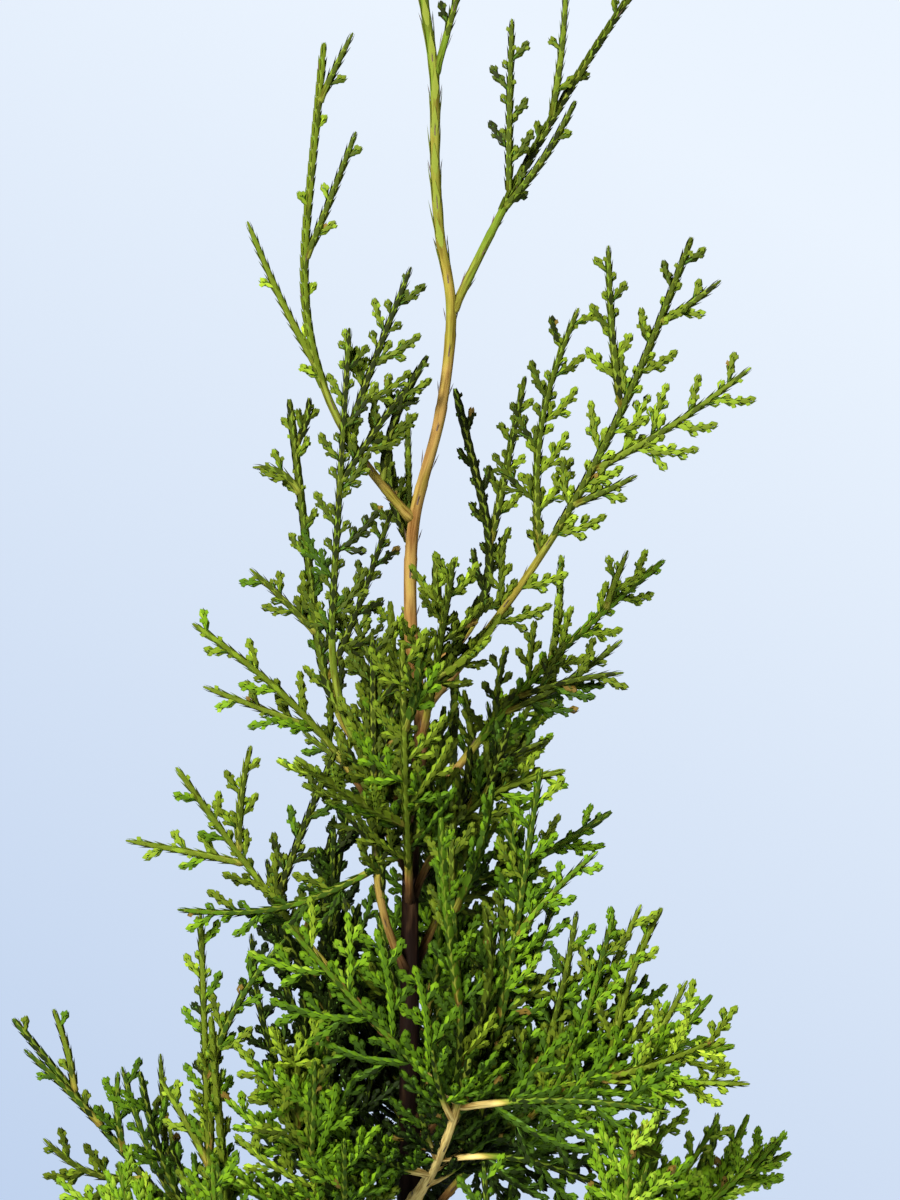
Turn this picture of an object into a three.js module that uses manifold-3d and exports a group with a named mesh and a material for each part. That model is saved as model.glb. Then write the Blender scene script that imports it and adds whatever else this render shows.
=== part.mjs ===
// A young eastern arborvitae rooted in level ground, in millimetres, +Z up, with its front at -Y.
// The origin is the middle of the flat cut under the trunk.
import * as THREE from "three";
import { mergeVertices } from "three/addons/utils/BufferGeometryUtils.js";
import Module from "manifold-3d";

const wasm = await Module();
wasm.setup();

// Trunk
const trunkHeight = 301;
const trunkSides = 10;
const trunkSteps = 26;
const tipRadius = 0.8;
const footRadius = 3.2;
const taperPower = 2.3;
const flareRadius = 2.2;
const flareHeight = 7;
const rootLobes = 4;
const rootLobeDepth = 0.14;
// Height, x and y of the points that the leaning trunk passes through.
const trunkBends = [
  [0, 0, 0],
  [60, 0.3, 0.6],
  [128, 0.3, -0.4],
  [150, 0.9, 0.2],
  [164, 2.2, 0.6],
  [180, 0.5, 0.2],
  [198, 1.0, 0.0],
  [216, 5.4, -0.3],
  [233, 7.2, 0.0],
  [246, 5.3, 0.4],
  [258, 4.5, 0.3],
  [272, 4.4, 0.0],
  [286, 2.5, 0.0],
  [trunkHeight, 0.9, 0.3],
];

// Boughs, arms and sprays
const clearGap = 0.3;
const boughSides = 5;
const boughSteps = 4;
const twigSides = 4;
const stemSteps = 6;
const armSteps = 3;
const boughTipRadius = 0.5;
const boughFootRadius = 0.6;
const boughFootShare = 0.0025; // added to the foot radius for each millimetre of length
const armFootRadius = 0.62;
const armTipRadius = 0.42;
const armBareShare = 0.12;
const pathSteps = 32;
const leafLeast = 9.2; // a shorter shoot carries no blade
const leafFootShare = 1.5; // length of a blade's foot along its twig, as a share of the shoots' gap
const leafFootMost = 6.4;
const leafThickness = 0.5;
const finestEdge = 0.05; // shorter edges left by the joining are closed up
const lowestPoint = 1;

// Bearings run from +X toward +Y, and rises from level, in degrees. The bend is the share of the
// length over which the rise changes, the roll turns the plane of the spray about the bough, the
// bare length has no shoots, the gap parts the shoots, and grownArms are placed by the seeded rule.
const boughFields = ["name", "height", "bearing", "rise", "tipRise", "bend", "length", "roll"];
boughFields.push("bare", "gap", "shoot", "grownArms");
const boughRows = [
  ["leader_fork", 272, 5, 74, 77, 1.0, 28, 0, 7, 12.0, 4, 0],
  ["upper_right", 232.5, 28, 62, 52, 1.0, 82, 0, 20, 14.0, 4, 0],
  ["fork_left", 198, 205, 45, 96, 0.7, 85, 0, 15, 14.0, 4, 0],
  ["right_arch", 166, 335, 48, 68, 1.0, 92, 0, 18, 5.0, 11, 0],
  ["back_high", 178, 92, 44, 62, 1.0, 50, 0, 14, 5.0, 10, 1],
  ["back_top", 172, 40, 26, 108, 0.7, 57, 0, 16, 5.5, 8, 0],
  ["left_back", 152, 150, 32, 82, 0.5, 75, 0, 20, 5.5, 8, 0],
  ["left_mid", 149, 212, 42, 94, 0.5, 86, -30, 34, 5.0, 10.5, 0],
  ["left_spray", 139, 198, 62, 35, 1.0, 57, 0, 24, 5.0, 8, 0],
  ["right_mid", 147, 26, 50, 36, 1.0, 66, 0, 18, 4.6, 12, 0],
  ["front_top", 160, 283, 50, 54, 1.0, 40, 90, 9, 4.6, 13, 1],
  ["right_low", 134, 338, 68, 12, 1.0, 38, 20, 9, 4.2, 11, 0],
  ["front_mid", 134, 268, 48, 70, 1.0, 52, 100, 9, 4.4, 16, 0],
  ["tan_stem", 122, 236, 50, 89, 0.5, 60, 120, 20, 4.6, 14, 1],
  ["left_reach", 108, 200, 48, 54, 1.0, 64, 0, 28, 4.2, 8, 0],
  ["back_mid", 140, 96, 36, 62, 1.0, 60, 40, 12, 4.4, 15, 2],
  ["back_right", 122, 60, 46, 48, 1.0, 62, -45, 12, 4.2, 16, 2],
  ["front_upright", 94, 302, 25, 98, 0.5, 71, 60, 14, 4.6, 11, 2],
  ["right_upright", 98, 328, 26, 80, 0.5, 68, 40, 14, 4.4, 13, 1],
  ["front_fan", 84, 286, 28, 50, 1.0, 46, 90, 10, 3.8, 16, 0],
  ["left_upright", 44, 198, 31, 88, 0.7, 104, -20, 24, 4.6, 10, 1],
  ["right_wide", 78, 340, 52, 12, 1.0, 68, 20, 14, 4.4, 18, 1],
  ["left_front", 72, 232, 26, 80, 1.0, 57, 120, 12, 4.4, 22, 3],
  ["back_left", 66, 150, 42, 92, 0.5, 88, 25, 16, 5.0, 13, 3],
  ["back_low", 84, 86, 26, 62, 1.0, 76, 90, 16, 4.2, 24, 3],
  ["far_left", 52, 166, 28, 48, 0.7, 94, 0, 40, 10.0, 5, 0],
  ["far_right", 56, 16, 30, 23, 1.0, 76, 16, 20, 4.2, 16, 2],
  ["front_low", 37, 314, 26, 70, 1.0, 84, 45, 18, 4.2, 22, 4],
  ["front_left_low", 37, 216, 22, 64, 1.0, 80, 140, 14, 4.4, 25, 4],
  ["back_right_low", 28, 55, 12, 56, 1.0, 74, 60, 14, 4.2, 25, 4],
  ["back_left_low", 20, 120, 10, 54, 1.0, 74, -60, 14, 4.2, 25, 4],
];
// Masses whose leafy stem starts at the trunk itself, with no bare bough.
const trunkMasses = ["leader_fork", "front_top", "right_low", "front_mid"];
// Arms that give the crown its own outline: the bough, and the share of its length where each starts.
const armFields = ["name", "share", "bearing", "rise", "tipRise", "length", "roll", "gap", "shoot"];
const armRows = [
  ["upper_right", 0.28, 345, 90, 88, 30, 0, 4.8, 7],
  ["upper_right", 0.25, 340, 46, 62, 22, 0, 12.0, 3],
  ["upper_right", 0.47, 0, 80, 88, 26, 0, 9.0, 4],
  ["fork_left", 0.36, 185, 61, 68, 27, 0, 12.0, 3],
  ["fork_left", 0.57, 350, 67, 69, 23, 0, 8.0, 4],
  ["fork_left", 0.22, 10, 70, 68, 30, 170, 4.8, 10.5],
  ["fork_left", 0.88, 0, 65, 63, 13, 0, 9.0, 3],
  ["right_arch", 0.55, 350, 27, 38, 31, 0, 3.8, 11],
  ["right_arch", 0.37, 12, 95, 67, 42, 0, 4.2, 11],
  ["right_arch", 0.67, 8, 98, 91, 27, 0, 4.8, 7],
  ["right_arch", 0.84, 350, 29, 39, 12, 0, 5.0, 5],
  ["right_arch", 0.48, 340, 20, 26, 12, 0, 3.8, 6],
  ["back_top", 0.51, 20, 77, 78, 30, 0, 5.0, 6],
  ["left_back", 0.46, 186, 47, 42, 16, 0, 3.6, 7],
  ["left_back", 0.78, 186, 60, 0, 10, 0, 3.6, 5],
  ["left_back", 0.89, 30, 58, 86, 9, 0, 4.0, 4],
  ["left_mid", 0.7, 20, 56, 52, 22, 170, 4.4, 8],
  ["left_spray", 0.52, 178, 20, 21, 20, 0, 3.8, 6],
  ["right_mid", 0.78, 355, 71, 67, 11, 0, 4.2, 6],
  ["right_mid", 0.44, 345, 19, 7, 19, 0, 4.2, 9],
  ["right_low", 0.5, 345, 62, 20, 19, 0, 4.2, 7],
  ["left_reach", 0.69, 180, 12, 10, 20, 0, 3.8, 6],
  ["left_reach", 0.72, 200, 89, 104, 18, 0, 3.8, 6],
  ["left_reach", 0.56, 340, 69, 65, 27, 0, 4.0, 7],
  ["tan_stem", 0.36, 190, -28, 6, 34, 0, 4.0, 9],
  ["right_upright", 0.59, 345, 51, 41, 20, 0, 4.4, 7],
  ["left_upright", 0.73, 356, 72, 50, 27, 0, 5.0, 7],
  ["left_upright", 0.59, 170, 63, 56, 17, 0, 5.0, 6],
  ["back_left", 0.5, 172, 60, 84, 30, 0, 5.0, 8],
  ["back_left", 0.35, 178, 55, 86, 40, 0, 5.0, 8],
  ["back_left", 0.65, 168, 50, 80, 26, 0, 5.0, 7],
  ["far_left", 0.74, 182, 48, 42, 19, 0, 10.0, 3],
  ["far_left", 0.82, 170, 82, 68, 15, 0, 10.0, 3],
  ["far_left", 0.68, 20, 103, 86, 14, 0, 4.0, 6],
  ["far_left", 0.62, 200, 1, 46, 20, 0, 4.0, 9],
  ["far_left", 0.45, 100, 84, 88, 34, 80, 5.0, 5],
  ["far_left", 0.5, 190, 60, 75, 30, 0, 4.6, 9],
  ["far_left", 0.45, 215, 55, 78, 34, 0, 4.6, 10],
  ["far_left", 0.55, 120, 78, 84, 26, 60, 5.0, 5],
  ["front_fan", 0.77, 205, 43, 48, 42, -20, 5.2, 20],
  ["front_fan", 0.75, 338, 10, -6, 36, 5, 4.8, 18],
  ["front_fan", 0.43, 345, 8, -22, 28, 5, 4.6, 16],
  ["front_fan", 0.31, 200, 12, 23, 19, -10, 4.2, 12],
  ["right_wide", 0.54, 340, 71, 76, 32, 0, 4.2, 11],
  ["right_wide", 0.4, 335, 66, 80, 38, 10, 4.6, 10],
  ["right_wide", 0.22, 350, 80, 86, 44, 0, 4.6, 10],
  ["right_wide", 0.3, 345, 50, 82, 36, 10, 4.6, 9],
  ["right_wide", 0.68, 20, 83, 60, 29, 0, 5.0, 7],
  ["right_wide", 0.76, 350, 60, 63, 16, 0, 4.2, 8],
  ["right_wide", 0.65, 330, 3, 2, 27, 0, 4.2, 9],
  ["right_wide", 0.53, 330, -27, -17, 21, 60, 4.0, 11],
  ["far_right", 0.45, 350, 55, 62, 28, 0, 4.4, 10],
  ["far_right", 0.6, 345, 50, 60, 24, 0, 4.4, 9],
  ["far_right", 0.75, 30, 40, 64, 18, 0, 5.0, 6],
  ["far_right", 0.86, 350, 39, 59, 10, 0, 4.2, 6],
  ["back_low", 0.24, 78, -38, 30, 54, 25, 4.4, 18],
  ["back_low", 0.3, 112, -30, 34, 48, -25, 4.4, 17],
  ["back_right_low", 0.3, 112, 56, 82, 52, 60, 4.4, 17],
  ["back_left_low", 0.3, 66, 58, 84, 56, -60, 4.4, 17],
];

// Colours of wood and foliage
const trunkLook = { color: 0x6d4b31, roughness: 0.9, metalness: 0 };
const boughLook = { color: 0xa98c50, roughness: 0.85, metalness: 0 };
const foliageLook = { color: 0x5f8f2a, roughness: 0.6, metalness: 0 };

const up = new THREE.Vector3(0, 0, 1);
const radians = THREE.MathUtils.degToRad;
const mix = THREE.MathUtils.lerp;

// A seeded number from 0 to 1 that depends on its two keys alone.
function draw(key, salt) {
  const wave = Math.sin(key * 127.1 + salt * 311.7) * 43758.5453;
  return wave - Math.floor(wave);
}

function fromFields(fields, row) {
  return Object.fromEntries(fields.map((field, i) => [field, row[i]]));
}

// The trunk's middle line is a uniform Catmull-Rom curve through the bends.
const trunkLine = trunkCurve(400);

function trunkCurve(count) {
  const last = trunkBends.length - 1;
  const reach = (i) => {
    if (i < 0) return trunkBends[0].map((v, k) => 2 * v - trunkBends[1][k]);
    if (i > last) return trunkBends[last].map((v, k) => 2 * v - trunkBends[last - 1][k]);
    return trunkBends[i];
  };
  return Array.from({ length: count }, (_, n) => {
    const t = (n * last) / (count - 1);
    const i = Math.min(Math.floor(t), last - 1);
    const f = t - i;
    return reach(i).map((b, k) => {
      const a = reach(i - 1)[k];
      const c = reach(i + 1)[k];
      const d = reach(i + 2)[k];
      const square = 2 * a - 5 * b + 4 * c - d;
      const cube = 3 * b - a - 3 * c + d;
      return 0.5 * (2 * b + (c - a) * f + square * f ** 2 + cube * f ** 3);
    });
  });
}

function trunkAt(height) {
  const i = Math.max(
    trunkLine.findIndex((p, n) => n > 0 && p[0] >= height),
    1,
  );
  const [low, high] = [trunkLine[i - 1], trunkLine[i]];
  const f = (height - low[0]) / (high[0] - low[0]);
  return new THREE.Vector3(mix(low[1], high[1], f), mix(low[2], high[2], f), height);
}

function trunkRadius(height) {
  const taper = (footRadius - tipRadius) * Math.max(1 - height / trunkHeight, 0) ** taperPower;
  return tipRadius + taper + flareRadius * Math.exp(-height / flareHeight);
}

// A limb leaves its foot at one rise and ends at another, in the upright plane of its bearing.
function limbPath(foot, { bearing, rise, tipRise, bend = 1, length, roll }) {
  const heading = radians(bearing);
  const across = new THREE.Vector3(Math.sin(heading), -Math.cos(heading), 0);
  const directions = [];
  const normals = [];
  for (let i = 0; i <= pathSteps; i++) {
    const b = Math.min(i / pathSteps / bend, 1);
    const climb = radians(mix(rise, tipRise, b * b * (3 - 2 * b)));
    const level = Math.cos(climb);
    const ahead = new THREE.Vector3(level * Math.cos(heading), level * Math.sin(heading), Math.sin(climb));
    directions.push(ahead);
    normals.push(across.clone().applyAxisAngle(ahead, radians(roll)));
  }
  return walk(foot, directions, normals, length);
}

function walk(foot, directions, normals, length) {
  const points = [foot.clone()];
  for (let i = 1; i < directions.length; i++) {
    const step = directions[i].clone().add(directions[i - 1]).setLength(length / (directions.length - 1));
    points.push(points[i - 1].clone().add(step));
  }
  return { points, directions, normals, length };
}

// The point, direction and normal at a distance along a path.
function pathAt(path, distance) {
  const last = path.points.length - 1;
  const x = THREE.MathUtils.clamp(distance / path.length, 0, 1) * last;
  const i = Math.min(Math.floor(x), last - 1);
  const between = (list) => list[i].clone().lerp(list[i + 1], x - i);
  return {
    point: between(path.points),
    direction: between(path.directions).normalize(),
    normal: between(path.normals).normalize(),
  };
}

// A shoot leaves its limb sideways in the plane of the spray and bends forward and up.
function shootPath(limb, distance, side, size, key) {
  const { point, direction, normal } = pathAt(limb.path, distance);
  const outward = normal.clone().cross(direction).multiplyScalar(side);
  const heading = (angle) =>
    direction.clone().multiplyScalar(Math.cos(angle)).addScaledVector(outward, Math.sin(angle));
  const first = heading(radians(40 + 16 * draw(key, 2)));
  const final = heading(radians(20 + 14 * draw(key, 3)))
    .addScaledVector(up, 0.08 + 0.18 * draw(key, 5))
    .normalize();
  const limbNormal = normal.clone();
  const twisted = normal.applyAxisAngle(first, radians(20 * (draw(key, 4) - 0.5)));
  const directions = [];
  const normals = [];
  for (let i = 0; i <= 10; i++) {
    const d = first.clone().lerp(final, i / 10).normalize();
    directions.push(d);
    normals.push(twisted.clone().addScaledVector(d, -d.dot(twisted)).normalize());
  }
  const path = walk(point, directions, normals, size);
  return { ...path, limbDirection: direction, limbNormal: limbNormal };
}

// Solids are closed meshes of position alone.
function solidFrom(geometry) {
  geometry.deleteAttribute("normal");
  geometry.deleteAttribute("uv");
  const merged = mergeVertices(geometry, 1e-4);
  const solid = new wasm.Manifold(
    new wasm.Mesh({
      numProp: 3,
      vertProperties: new Float32Array(merged.attributes.position.array),
      triVerts: new Uint32Array(merged.index.array),
    }),
  );
  return { solid, box: new THREE.Box3().setFromBufferAttribute(merged.attributes.position) };
}

function geometryFrom(solid) {
  const mesh = solid.getMesh();
  const geometry = new THREE.BufferGeometry();
  geometry.setAttribute("position", new THREE.BufferAttribute(mesh.vertProperties, 3));
  geometry.setIndex(new THREE.BufferAttribute(mesh.triVerts, 1));
  geometry.computeVertexNormals();
  return geometry;
}

// Every vertex of a three.js shape is moved by a rule.
function reshape(geometry, rule) {
  const position = geometry.attributes.position;
  const vertex = new THREE.Vector3();
  for (let i = 0; i < position.count; i++) {
    const moved = rule(vertex.fromBufferAttribute(position, i));
    position.setXYZ(i, moved.x, moved.y, moved.z);
  }
  return geometry;
}

// A cylinder is tapered and bent along a path, between two distances on it. Its foot may be cut to
// a surface: the cut gives the distance at which a line along the limb leaves that surface.
function bentLimb(path, start, end, footR, tipR, sides, steps, cut) {
  const cylinder = new THREE.CylinderGeometry(1, 1, 1, sides, steps, false, Math.PI / sides);
  return reshape(cylinder, (v) => {
    const share = v.y + 0.5;
    const radius = mix(footR, tipR, share);
    const at = pathAt(path, mix(start, end, share));
    const sideways = at.normal.clone().cross(at.direction);
    const offset = at.normal.clone().multiplyScalar(v.x * radius).addScaledVector(sideways, v.z * radius);
    if (share < 1e-6 && cut) {
      const foot = pathAt(path, 0);
      return foot.point.addScaledVector(foot.direction, cut(foot.point, foot.direction, offset)).add(offset);
    }
    return at.point.add(offset);
  });
}

// The distance at which a line beside the limb comes clear of the trunk.
function trunkCut(foot, direction, offset) {
  let inside = 0;
  let outside = 30;
  for (let i = 0; i < 40; i++) {
    const middle = (inside + outside) / 2;
    const p = foot.clone().addScaledVector(direction, middle).add(offset);
    const centre = trunkAt(Math.min(p.z, trunkHeight));
    const clear = Math.hypot(p.x - centre.x, p.y - centre.y) > trunkRadius(p.z) + clearGap;
    if (clear) outside = middle;
    else inside = middle;
  }
  return outside;
}

// The distance along a limb at which its whole section is clear of the trunk.
function trunkClear(path, radius) {
  const { point, direction, normal } = pathAt(path, 0);
  const turns = Array.from({ length: 12 }, (_, i) => (i * Math.PI) / 6);
  const offsets = turns.map((turn) => normal.clone().applyAxisAngle(direction, turn).multiplyScalar(radius));
  return Math.max(...offsets.map((offset) => trunkCut(point, direction, offset)));
}

// A keeled blade of eight faces: a flat cone whose foot lies along its twig's middle line.
function blade(root, tip, along, normal, foot) {
  return reshape(new THREE.ConeGeometry(1, 1, 4), (v) => {
    if (v.y > 0) return tip.clone();
    const spread = along.clone().multiplyScalar((v.x * foot) / 2);
    return spread.add(root).addScaledVector(normal, (v.z * leafThickness) / 2);
  });
}

// The trunk's rings are level. Its foot is lobed where the roots start.
function trunkGeometry() {
  return reshape(new THREE.CylinderGeometry(1, 1, 1, trunkSides, trunkSteps), (v) => {
    const height = trunkHeight * (v.y + 0.5) ** 1.25;
    const centre = trunkAt(height);
    const turn = Math.atan2(v.z, v.x);
    const lobe = rootLobeDepth * Math.exp(-height / flareHeight) * Math.cos(rootLobes * turn);
    const radius = trunkRadius(height) * (1 + lobe);
    return new THREE.Vector3(centre.x + v.x * radius, centre.y - v.z * radius, height);
  });
}

// All the limbs, in the order of the boughs, the listed arms and the grown arms.
const boughs = boughRows.map((row) => fromFields(boughFields, row));
const limbs = boughs.map((bough, mass) => ({
  mass,
  path: limbPath(trunkAt(bough.height), bough),
  bare: bough.bare,
  gap: bough.gap,
  shoot: bough.shoot,
}));
for (const row of armRows) {
  const arm = fromFields(armFields, row);
  const mass = boughs.findIndex((bough) => bough.name === arm.name);
  const foot = pathAt(limbs[mass].path, arm.share * boughs[mass].length);
  const path = limbPath(foot.point, arm);
  limbs.push({ mass, path, bare: armBareShare * arm.length, gap: arm.gap, shoot: arm.shoot });
}
boughs.forEach((bough, mass) => {
  const leafy = bough.bare / bough.length;
  for (let n = 0; n < bough.grownArms; n++) {
    const key = mass * 7 + n;
    const share = leafy + ((1 - leafy) * (n + 0.3 + 0.4 * draw(key, 21))) / (bough.grownArms + 0.6);
    const foot = pathAt(limbs[mass].path, share * bough.length);
    const climb = THREE.MathUtils.radToDeg(Math.asin(foot.direction.z));
    const turn = (28 + 24 * draw(key, 22)) * (n % 2 === 0 ? 1 : -1);
    const length = (bough.length - bough.bare) * (0.62 - 0.34 * share) * (0.8 + 0.4 * draw(key, 23));
    const path = limbPath(foot.point, {
      bearing: bough.bearing + turn,
      rise: climb - 4 + 14 * draw(key, 24),
      tipRise: climb + 6 + 26 * draw(key, 25),
      length,
      roll: bough.roll + 50 * (draw(key, 26) - 0.5),
    });
    limbs.push({ mass, path, bare: armBareShare * length, gap: bough.gap, shoot: bough.shoot * 0.66 });
  }
});

// Solids already placed, each with the node that it belongs to.
const placed = [];

function isClear(piece, node, friend) {
  const near = piece.box.clone().expandByScalar(clearGap);
  if (piece.box.min.z < lowestPoint) return false;
  return placed.every((other) => {
    if (other.node === node || other.node === friend || !near.intersectsBox(other.box)) return true;
    return piece.solid.minGap(other.solid, clearGap) >= clearGap;
  });
}

function place(geometry, node, friend) {
  const piece = { ...solidFrom(geometry), node };
  if (!isClear(piece, node, friend)) return false;
  placed.push(piece);
  return true;
}

const boughNode = (mass) => "bough_" + boughs[mass].name;
const foliageNode = (mass) => "foliage_" + boughs[mass].name;

const plant = new THREE.Group();

function addNode(name, geometry, look) {
  const mesh = new THREE.Mesh(geometry, new THREE.MeshStandardMaterial(look));
  mesh.name = name;
  plant.add(mesh);
}

const trunk = { ...solidFrom(trunkGeometry()), node: "trunk" };
placed.push(trunk);
addNode("trunk", geometryFrom(trunk.solid), trunkLook);

// Bare wood of each bough, from the trunk to where its foliage starts.
// Its radius shrinks by the square of what is left of the limb.
const radiusAlong = (bough, distance) => {
  const foot = boughFootRadius + boughFootShare * bough.length;
  return mix(boughTipRadius, foot, (1 - distance / bough.length) ** 2);
};
boughs.forEach((bough, mass) => {
  const { path } = limbs[mass];
  if (trunkMasses.includes(bough.name)) return;
  const radii = [radiusAlong(bough, 0), radiusAlong(bough, bough.bare)];
  const start = trunkClear(path, radii[0]);
  const geometry = bentLimb(path, start, bough.bare, ...radii, boughSides, boughSteps, trunkCut);
  const piece = { ...solidFrom(geometry), node: boughNode(mass) };
  placed.push(piece);
  addNode(piece.node, geometryFrom(piece.solid), boughLook);
});

// One stem for each mass, which starts clear of its bough's tip or of the trunk.
boughs.forEach((bough, mass) => {
  const { path } = limbs[mass];
  const fromTrunk = trunkMasses.includes(bough.name);
  const start = fromTrunk ? trunkClear(path, radiusAlong(bough, 0)) : bough.bare + clearGap;
  const radii = [radiusAlong(bough, start), radiusAlong(bough, bough.length)];
  const cut = fromTrunk ? trunkCut : null;
  const geometry = bentLimb(path, start, bough.length, ...radii, twigSides, stemSteps, cut);
  place(geometry, foliageNode(mass), fromTrunk ? "trunk" : boughNode(mass));
});

// Arms of each stem, in turn round the plant.
for (const limb of limbs.slice(boughs.length)) {
  const end = limb.path.length;
  const geometry = bentLimb(limb.path, 0, end, armFootRadius, armTipRadius, twigSides, armSteps, null);
  limb.skipped = !place(geometry, foliageNode(limb.mass), null);
}

// Shoots of every limb that was placed, each a flat blade that stands for its spray.
limbs.forEach((limb, index) => {
  if (limb.skipped) return;
  const node = foliageNode(limb.mass);
  const count = Math.floor((limb.path.length - 3 - limb.bare) / limb.gap + 1);
  for (let n = 0; n < count; n++) {
    const key = index * 97 + n;
    const distance = limb.bare + n * limb.gap;
    const leafy = (distance - limb.bare) / (limb.path.length - limb.bare);
    const size = Math.max(limb.shoot * (1.04 - 0.6 * leafy) * (0.8 + 0.32 * draw(key, 1)), 3);
    if (size < leafLeast) continue;
    const side = (n + index) % 2 === 0 ? 1 : -1;
    const shifted = distance + (draw(key, 6) - 0.5) * 0.02 * limb.path.length;
    const shoot = shootPath(limb, Math.max(shifted, limb.bare + 2), side, size, key);
    const along = shoot.limbDirection.clone().multiplyScalar(side);
    const foot = Math.min(limb.gap * leafFootShare, leafFootMost);
    place(blade(shoot.points[0], shoot.points.at(-1), along, shoot.limbNormal, foot), node, null);
  }
});

// Each mass is joined into one solid, without loose scraps or sealed hollows.
boughs.forEach((bough, mass) => {
  const node = foliageNode(mass);
  const pieces = placed.filter((piece) => piece.node === node).map((piece) => piece.solid);
  const bodies = wasm.Manifold.union(pieces).simplify(finestEdge).decompose();
  const whole = bodies.reduce((a, b) => (a.volume() > b.volume() ? a : b));
  addNode(node, geometryFrom(whole), foliageLook);
});

export default plant;
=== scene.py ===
# A young eastern arborvitae: bark, boughs and sprays of scale leaves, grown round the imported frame.
import bpy
import numpy as np
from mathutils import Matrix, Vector


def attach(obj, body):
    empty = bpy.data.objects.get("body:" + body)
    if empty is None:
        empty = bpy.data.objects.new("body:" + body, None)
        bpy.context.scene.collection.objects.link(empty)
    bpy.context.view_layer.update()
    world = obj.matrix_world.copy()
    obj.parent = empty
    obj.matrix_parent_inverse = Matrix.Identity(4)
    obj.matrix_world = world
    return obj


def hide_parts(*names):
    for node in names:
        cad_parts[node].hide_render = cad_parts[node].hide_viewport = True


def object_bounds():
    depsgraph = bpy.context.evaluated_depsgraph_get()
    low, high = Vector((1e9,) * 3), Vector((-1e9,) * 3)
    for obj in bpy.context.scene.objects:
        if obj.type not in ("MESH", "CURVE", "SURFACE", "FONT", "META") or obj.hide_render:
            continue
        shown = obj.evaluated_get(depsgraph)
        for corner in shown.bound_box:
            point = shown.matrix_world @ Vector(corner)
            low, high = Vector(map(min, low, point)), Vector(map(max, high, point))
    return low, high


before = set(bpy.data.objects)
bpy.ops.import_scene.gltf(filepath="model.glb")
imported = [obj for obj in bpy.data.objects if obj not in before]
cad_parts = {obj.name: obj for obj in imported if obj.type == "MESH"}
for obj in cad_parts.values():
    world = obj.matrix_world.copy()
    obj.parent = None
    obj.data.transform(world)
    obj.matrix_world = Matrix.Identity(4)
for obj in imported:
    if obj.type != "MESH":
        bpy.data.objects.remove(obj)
cadBox = [list(corner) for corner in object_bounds()]
mm = 0.001  # growth is worked out in millimetres, meshes are in metres
upward = np.array([0.0, 0.0, 1.0])
frontward = np.array([0.0, -1.0, 0.0])
print("frame loaded,", len(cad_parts), "nodes")

# Trunk: the same middle line, taper and root flare as the solid
trunk = {
    "height": 301.0,
    "tipRadius": 0.8,
    "footRadius": 3.2,
    "taperPower": 2.3,
    "flareRadius": 2.2,
    "flareHeight": 7.0,
    "rootLobes": 4,
    "rootLobeDepth": 0.14,
    "rings": 420,
    "sides": 30,
    "linePoints": 400,
    "internode": 6.2,  # leaf pairs of the leader stand this far apart
    "leafBaseSwell": 0.10,  # rise of a leaf base toward its pair, as a share of the radius
    "ridges": (9, 17),  # broad and fine stringy ridges round the old bark
    "broadShare": 0.6,
    # how ridges wander round the trunk, in radians, millimetres and phase: two for broad ones, one for fine
    "sways": [(0.7, 17.0, 0.0), (0.4, 6.1, 0.0), (0.9, 11.0, 2.0)],
    "fibreDepth": 0.07,  # height of those ridges, as a share of the radius
    "youngFibreDepth": 0.02,
    "strips": 10,  # loose strips round the old bark
    "stripSway": (0.35, 13.0, 0.0),
    "stripDepth": 0.05,
    "stripLength": 19.0,
    "oldBark": (170.0, -40.0),  # all young from this height up, all old this much lower
    "barkAgeAndShade": [  # height, age of the bark from 0, old, to 1, cream; the oldest bark low down comes out near black, painted shade over its own red-brown
        (0, 0.0), (120, 0.07), (156, 0.18), (166, 0.39), (200, 0.45), (225, 0.52), (245, 0.57), (262, 0.65),
        (275, 0.74), (301, 0.77),
    ],
    "bends": [  # height, x, y
        (0, 0, 0), (60, 0.3, 0.6), (128, 0.3, -0.4), (150, 0.9, 0.2), (164, 2.2, 0.6),
        (180, 0.5, 0.2), (198, 1.0, 0.0), (216, 5.4, -0.3), (233, 7.2, 0.0), (246, 5.3, 0.4),
        (258, 4.5, 0.3), (272, 4.4, 0.0), (286, 2.5, 0.0), (301, 0.9, 0.3),
    ],
}

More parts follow.
